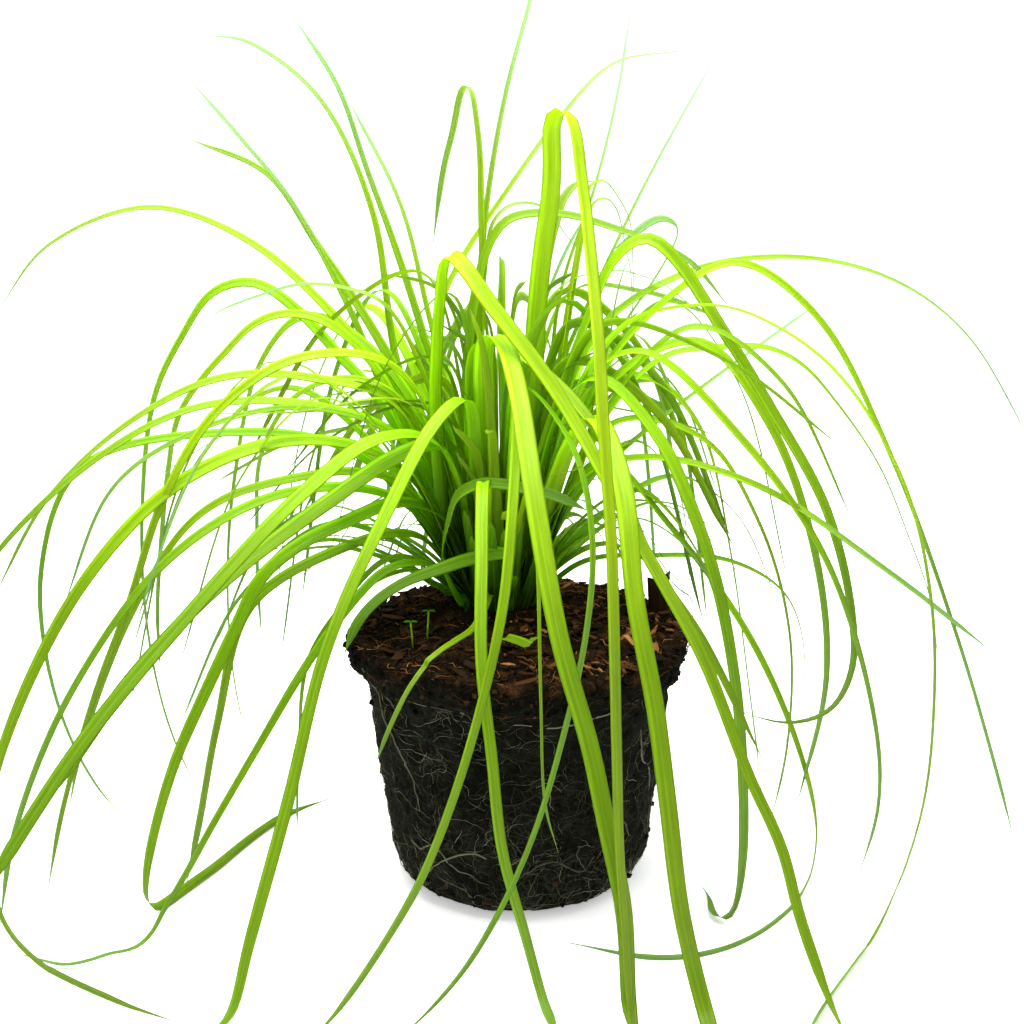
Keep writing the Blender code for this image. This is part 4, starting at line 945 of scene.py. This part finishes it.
def build_scraps(leaf):
    """The cut leaf on the soil, a yellow scrap caught in the crown and a straw across the front."""
    batch = Batch(*BLADE_FIELDS)
    along = Vector((0.62, -0.78, 0.05)).normalized()
    across = Vector((0.74, 0.60, 0.28)).normalized()
    add_scrap(batch, Vector((-1.0, -38.0, 115.8)), along, across, 15.0, 5.2, False, 0.35)
    add_scrap(batch, Vector((5.5, -36.0, 115.6)), across, -along, 7.0, 3.4, True, 0.2)
    side = Vector((0.7, -0.2, 0.68)).normalized()
    add_scrap(batch, Vector((-5.2, -14.5, 161.0)), side, Vector((-0.68, 0.0, 0.73)), 6.0, 4.8, True, 0.95)
    straw = smooth_curve([Vector(p) for p in STRAW], 10)
    add_tube(batch, straw, 0.3, 5, along=0.95, across=0.5, tone=0.0, age=1.0, breadth=1.0, reach=20.0)
    dress(batch.object("leaf_scraps", leaf), "leaf")


# Materials


def new_material(name):
    material = bpy.data.materials.new(name)
    material.use_nodes = True
    tree = material.node_tree
    tree.nodes.clear()
    return material, tree


def opaque(color):
    """The colour with an alpha of 1, where a plain number stands for a grey."""
    return (color, color, color, 1.0) if isinstance(color, float) else (*color, 1.0)


def feed(tree, socket, value):
    """Links a socket to what makes its value, or sets it to a number, a vector or a colour."""
    if isinstance(value, bpy.types.NodeSocket):
        tree.links.new(value, socket)
    elif socket.type == "RGBA":
        socket.default_value = opaque(value)
    else:
        socket.default_value = value


def node(tree, kind, inputs=None, **settings):
    made = tree.nodes.new(kind)
    for key, value in settings.items():
        setattr(made, key, value)
    for key, value in (inputs or {}).items():
        feed(tree, made.inputs[key], value)
    return made


def attribute(tree, name):
    return node(tree, "ShaderNodeAttribute", attribute_name=name).outputs["Fac"]


def math_node(tree, operation, *inputs, clamp=False):
    made = node(tree, "ShaderNodeMath", dict(enumerate(inputs)), operation=operation, use_clamp=clamp)
    return made.outputs[0]


def times(tree, first, *others):
    for other in others:
        first = math_node(tree, "MULTIPLY", first, other)
    return first


def map_range(tree, value, low, high, bottom=0.0):
    inputs = {"Value": value, "From Min": low, "From Max": high, "To Min": bottom}
    return node(tree, "ShaderNodeMapRange", inputs).outputs[0]


def ramp(tree, factor, *stops):
    made = node(tree, "ShaderNodeValToRGB", {"Fac": factor})
    elements = made.color_ramp.elements
    while len(elements) < len(stops):
        elements.new(1.0)
    for element, (place, color) in zip(elements, stops):
        element.position = place
        element.color = opaque(color)
    return made.outputs["Color"]


def mix(tree, factor, a, b, blend="MIX"):
    made = node(tree, "ShaderNodeMix", {0: factor, 6: a, 7: b}, data_type="RGBA", blend_type=blend)
    return made.outputs[2]


def toned(tree, share, base, factor, *stops):
    """The colour made darker and lighter by a ramp of greys."""
    return mix(tree, share, base, ramp(tree, factor, *stops), "MULTIPLY")


def noise_value(tree, vector, scale, detail=3.0, roughness=0.55):
    inputs = {"Vector": vector, "Scale": scale, "Detail": detail, "Roughness": roughness}
    return node(tree, "ShaderNodeTexNoise", inputs).outputs["Fac"]


def combined(tree, x, y, z):
    return node(tree, "ShaderNodeCombineXYZ", {0: x, 1: y, 2: z}).outputs[0]


def height_in(tree, vector):
    return node(tree, "ShaderNodeSeparateXYZ", {0: vector}).outputs["Z"]


def place(tree):
    return node(tree, "ShaderNodeTexCoord").outputs["Object"]


def bumped(tree, height, strength, distance):
    inputs = {"Strength": strength, "Distance": distance, "Height": height}
    return node(tree, "ShaderNodeBump", inputs).outputs["Normal"]


def give_surface(tree, shader):
    node(tree, "ShaderNodeOutputMaterial", {"Surface": shader.outputs[0]})


def blade_noise(tree, width, across_rate, reach, along_rate, seed, scale, detail=2.0):
    """Noise laid along a blade, drawn out along it."""
    where = combined(tree, times(tree, width, across_rate), times(tree, reach, along_rate), seed)
    return noise_value(tree, where, scale, detail=detail)


def leaf_material():
    """Lime blade: painted shade at the crown and low down, bluish at thin tips, a faint rib with a painted
    highlight, painted light and shade on its two halves, fine veins along it, a few specks.
    """
    material, tree = new_material("sedge_leaf")
    along, across, tone, age, breadth, reach = (attribute(tree, field) for field in BLADE_FIELDS)
    # Colours along each blade, from the crown out: the dark crown and the dimming toward the tips are painted
    # shade laid over each leaf's own green
    young = ramp(
        tree, along,
        (0.0, (0.018, 0.040, 0.002)), (0.06, (0.050, 0.150, 0.003)), (0.12, (0.170, 0.500, 0.003)),
        (0.20, (0.540, 0.950, 0.003)), (0.34, (0.520, 0.840, 0.005)), (0.5, (0.420, 0.660, 0.008)),
        (1.0, (0.290, 0.460, 0.020)),
    )
    deep = ramp(
        tree, along,
        (0.0, (0.012, 0.030, 0.002)), (0.06, (0.030, 0.110, 0.003)), (0.13, (0.095, 0.360, 0.003)),
        (0.24, (0.320, 0.760, 0.003)), (0.5, (0.235, 0.490, 0.008)), (1.0, (0.155, 0.330, 0.018)),
    )
    yellow = ramp(
        tree, along,
        (0.0, (0.050, 0.060, 0.006)), (0.08, (0.150, 0.260, 0.004)), (0.18, (0.520, 0.740, 0.003)),
        (0.60, (0.470, 0.620, 0.004)), (0.94, (0.330, 0.430, 0.005)), (1.0, (0.380, 0.360, 0.060)),
    )
    base = mix(tree, times(tree, tone, 0.85), young, deep)
    base = mix(tree, math_node(tree, "POWER", age, 1.3), base, yellow)
    far = ramp(tree, along, (0.6, 0.0), (1.0, 1.0))
    fresh = math_node(tree, "SUBTRACT", 1.0, age, clamp=True)
    tips = times(tree, far, map_range(tree, breadth, 7.0, 4.5), fresh)
    base = mix(tree, tips, base, (0.400, 0.700, 0.420))
    # Darker low down, toward the floor: painted shade, which also dims the light through the blade
    painted_shade = ramp(
        tree, height_in(tree, place(tree)),
        (0.06, (0.72, 0.78, 0.50)), (0.13, (0.66, 0.75, 0.50)), (0.18, (0.96, 0.98, 0.90)), (0.25, 1.0),
    )
    base = mix(tree, 1.0, base, painted_shade, "MULTIPLY")
    width = times(tree, across, breadth)
    veins = blade_noise(tree, width, 2.6, reach, 0.008, tone, 1.6)
    base = toned(tree, 0.6, base, veins, (0.3, 0.56), (0.5, 1.02), (0.7, 1.35))
    distance = math_node(tree, "ABSOLUTE", across)
    # A pale band along the middle of the blade: the rib, with a painted highlight laid along it
    painted_rib_highlight = ramp(tree, distance, (0.0, 0.34), (0.06, 0.14), (0.13, 0.0))
    base = mix(tree, painted_rib_highlight, base, (0.480, 0.760, 0.070))
    edge = ramp(tree, distance, (0.84, 0.0), (1.0, 0.35))
    base = mix(tree, edge, base, (0.150, 0.340, 0.006))
    # One half of each blade darker and the other lighter: painted shade and light on the two sides of the
    # fold
    base = toned(tree, 0.8, base, across, (0.47, 0.82), (0.53, 1.14))
    patches = blade_noise(tree, width, 0.18, reach, 0.02, age, 2.0)
    base = toned(tree, 0.45, base, patches, (0.3, 0.65), (0.7, 1.25))
    specks = blade_noise(tree, width, 1.1, reach, 0.5, tone, 1.5, detail=1.0)
    brown = ramp(tree, specks, (0.78, 0.0), (0.81, 0.8))
    base = mix(tree, brown, base, (0.190, 0.110, 0.020))

    shader = node(tree, "ShaderNodeBsdfPrincipled", {
        "Base Color": base,
        "Roughness": math_node(tree, "ADD", times(tree, veins, 0.22), 0.34),
        "Specular IOR Level": 0.22,
        "Normal": bumped(tree, veins, 0.35, 0.0003),
    })
    glow = mix(tree, 1.0, mix(tree, 0.40, base, (0.560, 0.800, 0.003)), painted_shade, "MULTIPLY")
    through = node(tree, "ShaderNodeBsdfTranslucent", {"Color": glow})
    both = node(tree, "ShaderNodeMixShader", {"Fac": 0.5, 1: shader.outputs[0], 2: through.outputs[0]})
    give_surface(tree, both)
    return material


def matte(tree, color, height, roughness=0.92, distance=0.0006):
    give_surface(tree, node(tree, "ShaderNodeBsdfPrincipled", {
        "Base Color": color,
        "Roughness": roughness,
        "Specular IOR Level": 0.03,
        "Normal": bumped(tree, height, 0.8, distance),
    }))


def web(tree, where, scale, thin):
    """Thin lines like matted roots: the borders of warped cells."""
    warp = node(tree, "ShaderNodeTexNoise", {"Vector": where, "Scale": scale * 0.9, "Detail": 4.0})
    inputs = {0: warp.outputs["Color"], 1: (1.6 / scale,) * 3, 2: where}
    shift = node(tree, "ShaderNodeVectorMath", inputs, operation="MULTIPLY_ADD")
    inputs = {"Vector": shift.outputs[0], "Scale": scale}
    cells = node(tree, "ShaderNodeTexVoronoi", inputs, feature="DISTANCE_TO_EDGE").outputs["Distance"]
    return ramp(tree, cells, (0.0, 1.0), (thin, 0.35), (thin * 2.2, 0.0))


def soil_material():
    """Peat: nearly black on the wall under a grey web of roots, red-brown and fibrous on top."""
    material, tree = new_material("peat_soil")
    where = place(tree)
    high = height_in(tree, where)
    coarse = noise_value(tree, where, 90.0, detail=6.0, roughness=0.7)
    fine = noise_value(tree, where, 620.0, detail=5.0, roughness=0.7)
    wall = ramp(
        tree, coarse,
        (0.3, (0.0006, 0.0007, 0.0004)), (0.55, (0.0028, 0.0032, 0.0016)), (0.8, (0.014, 0.015, 0.009)),
    )
    top = ramp(
        tree, coarse,
        (0.35, (0.0020, 0.0014, 0.0007)), (0.52, (0.011, 0.006, 0.0025)), (0.75, (0.080, 0.034, 0.011)),
    )
    uneven = math_node(tree, "ADD", high, times(tree, coarse, 0.012))
    topmost = map_range(tree, math_node(tree, "SUBTRACT", uneven, 0.006), 0.103, 0.109)
    roots = mix(tree, 0.35, web(tree, where, 170.0, 0.035), web(tree, where, 420.0, 0.07), "SCREEN")
    mask = ramp(tree, noise_value(tree, where, 38.0, detail=4.0), (0.38, 0.08), (0.62, 0.85))
    matted = times(tree, roots, mask, map_range(tree, high, 0.110, 0.010, bottom=0.25))
    wall = mix(tree, times(tree, matted, 0.6), wall, (0.048, 0.052, 0.032))
    base = mix(tree, topmost, wall, top)
    base = toned(tree, 0.7, base, fine, (0.3, 0.45), (0.7, 1.6))
    relief = math_node(tree, "ADD", coarse, times(tree, fine, 0.5))
    matte(tree, base, math_node(tree, "ADD", relief, times(tree, matted, 0.6)))
    return material


def crumb_material():
    material, tree = new_material("soil_crumb")
    grain = noise_value(tree, place(tree), 900.0, detail=4.0)
    base = ramp(
        tree, attribute(tree, "tone"),
        (0.0, (0.002, 0.0018, 0.0012)), (0.6, (0.008, 0.006, 0.004)), (1.0, (0.040, 0.020, 0.009)),
    )
    base = toned(tree, 0.6, base, grain, (0.3, 0.5), (0.7, 1.4))
    matte(tree, base, grain)
    return material


def bark_material():
    material, tree = new_material("bark")
    tone = attribute(tree, "tone")
    grain_at = combined(tree, attribute(tree, "grain"), 0.0, tone)
    fibre = noise_value(tree, grain_at, 2.6, detail=4.0)
    base = ramp(
        tree, tone,
        (0.0, (0.006, 0.004, 0.002)), (0.45, (0.022, 0.011, 0.005)), (0.8, (0.085, 0.034, 0.011)),
        (0.92, (0.200, 0.085, 0.028)), (1.0, (0.400, 0.180, 0.060)),
    )
    base = toned(tree, 0.75, base, fibre, (0.3, 0.4), (0.7, 1.6))
    matte(tree, base, fibre, roughness=0.8, distance=0.0004)
    return material


def strand_material(name, *stops):
    """Matte strands, each of its own tone."""
    material, tree = new_material(name)
    grain = noise_value(tree, place(tree), 300.0)
    base = ramp(tree, attribute(tree, "tone"), *stops)
    base = toned(tree, 0.5, base, grain, (0.3, 0.6), (0.7, 1.3))
    matte(tree, base, grain, roughness=0.7, distance=0.0001)
    return material


def root_material():
    stops = (0.0, (0.016, 0.017, 0.010)), (0.6, (0.060, 0.064, 0.040)), (1.0, (0.220, 0.215, 0.140))
    return strand_material("fine_root", *stops)


def fibre_material():
    stops = (0.0, (0.008, 0.005, 0.002)), (0.6, (0.055, 0.022, 0.007)), (1.0, (0.320, 0.150, 0.048))
    return strand_material("coir", *stops)


# Studio


def build_floor():
    bpy.ops.mesh.primitive_plane_add(size=FLOOR_SIZE, location=(0.0, 0.0, -FLOOR_DROP))
    floor = bpy.context.object
    floor.name = "floor"
    material, tree = new_material("pale_floor")
    give_surface(tree, node(tree, "ShaderNodeBsdfPrincipled", {
        "Base Color": 0.94,
        "Roughness": 0.9,
        "Specular IOR Level": 0.1,
        "Emission Color": 1.0,
        "Emission Strength": FLOOR_GLOW,
    }))
    floor.data.materials.append(material)


def build_studio():
    build_floor()
    world = bpy.data.worlds.new("studio")
    bpy.context.scene.world = world
    world.use_nodes = True
    tree = world.node_tree
    direction = node(tree, "ShaderNodeTexCoord").outputs["Generated"]
    sky = ramp(tree, height_in(tree, direction), (0.0, 0.34), (0.35, 0.55), (1.0, 1.2))
    background = tree.nodes["Background"]
    feed(tree, background.inputs["Color"], sky)
    feed(tree, background.inputs["Strength"], SKY_STRENGTH)
    for name, spot, size, power in LIGHTS:
        light = bpy.data.lights.new(name, "AREA")
        light.size = size
        light.energy = power
        lamp = bpy.data.objects.new(name, light)
        lamp.location = spot
        toward = Vector(LIT_POINT) - Vector(spot)
        lamp.rotation_euler = toward.to_track_quat("-Z", "Y").to_euler()
        bpy.context.scene.collection.objects.link(lamp)
    bpy.context.scene.view_settings.view_transform = "Standard"


def build_camera():
    lens = bpy.data.cameras.new("photo_view")
    lens.sensor_width = SENSOR
    lens.lens = FOCAL_PIXELS / PHOTO_WIDTH * SENSOR
    lens.clip_end = 20.0
    camera = bpy.data.objects.new("photo_view", lens)
    camera.location = CAMERA_PLACE
    camera.rotation_euler = (math.radians(90.0 - CAMERA_DIP), 0.0, 0.0)
    bpy.context.scene.collection.objects.link(camera)
    bpy.context.scene.camera = camera


# Noise vectors start from the clock unless they are given a seed
noise.seed_set(SEED)
build_camera()
build_studio()
leaf = leaf_material()
build_blades(leaf)
build_soil(soil_material())
build_roots(root_material())
build_fibres(fibre_material())
build_bark(bark_material())
build_crumbs(crumb_material())
build_seedlings(leaf)
build_scraps(leaf)
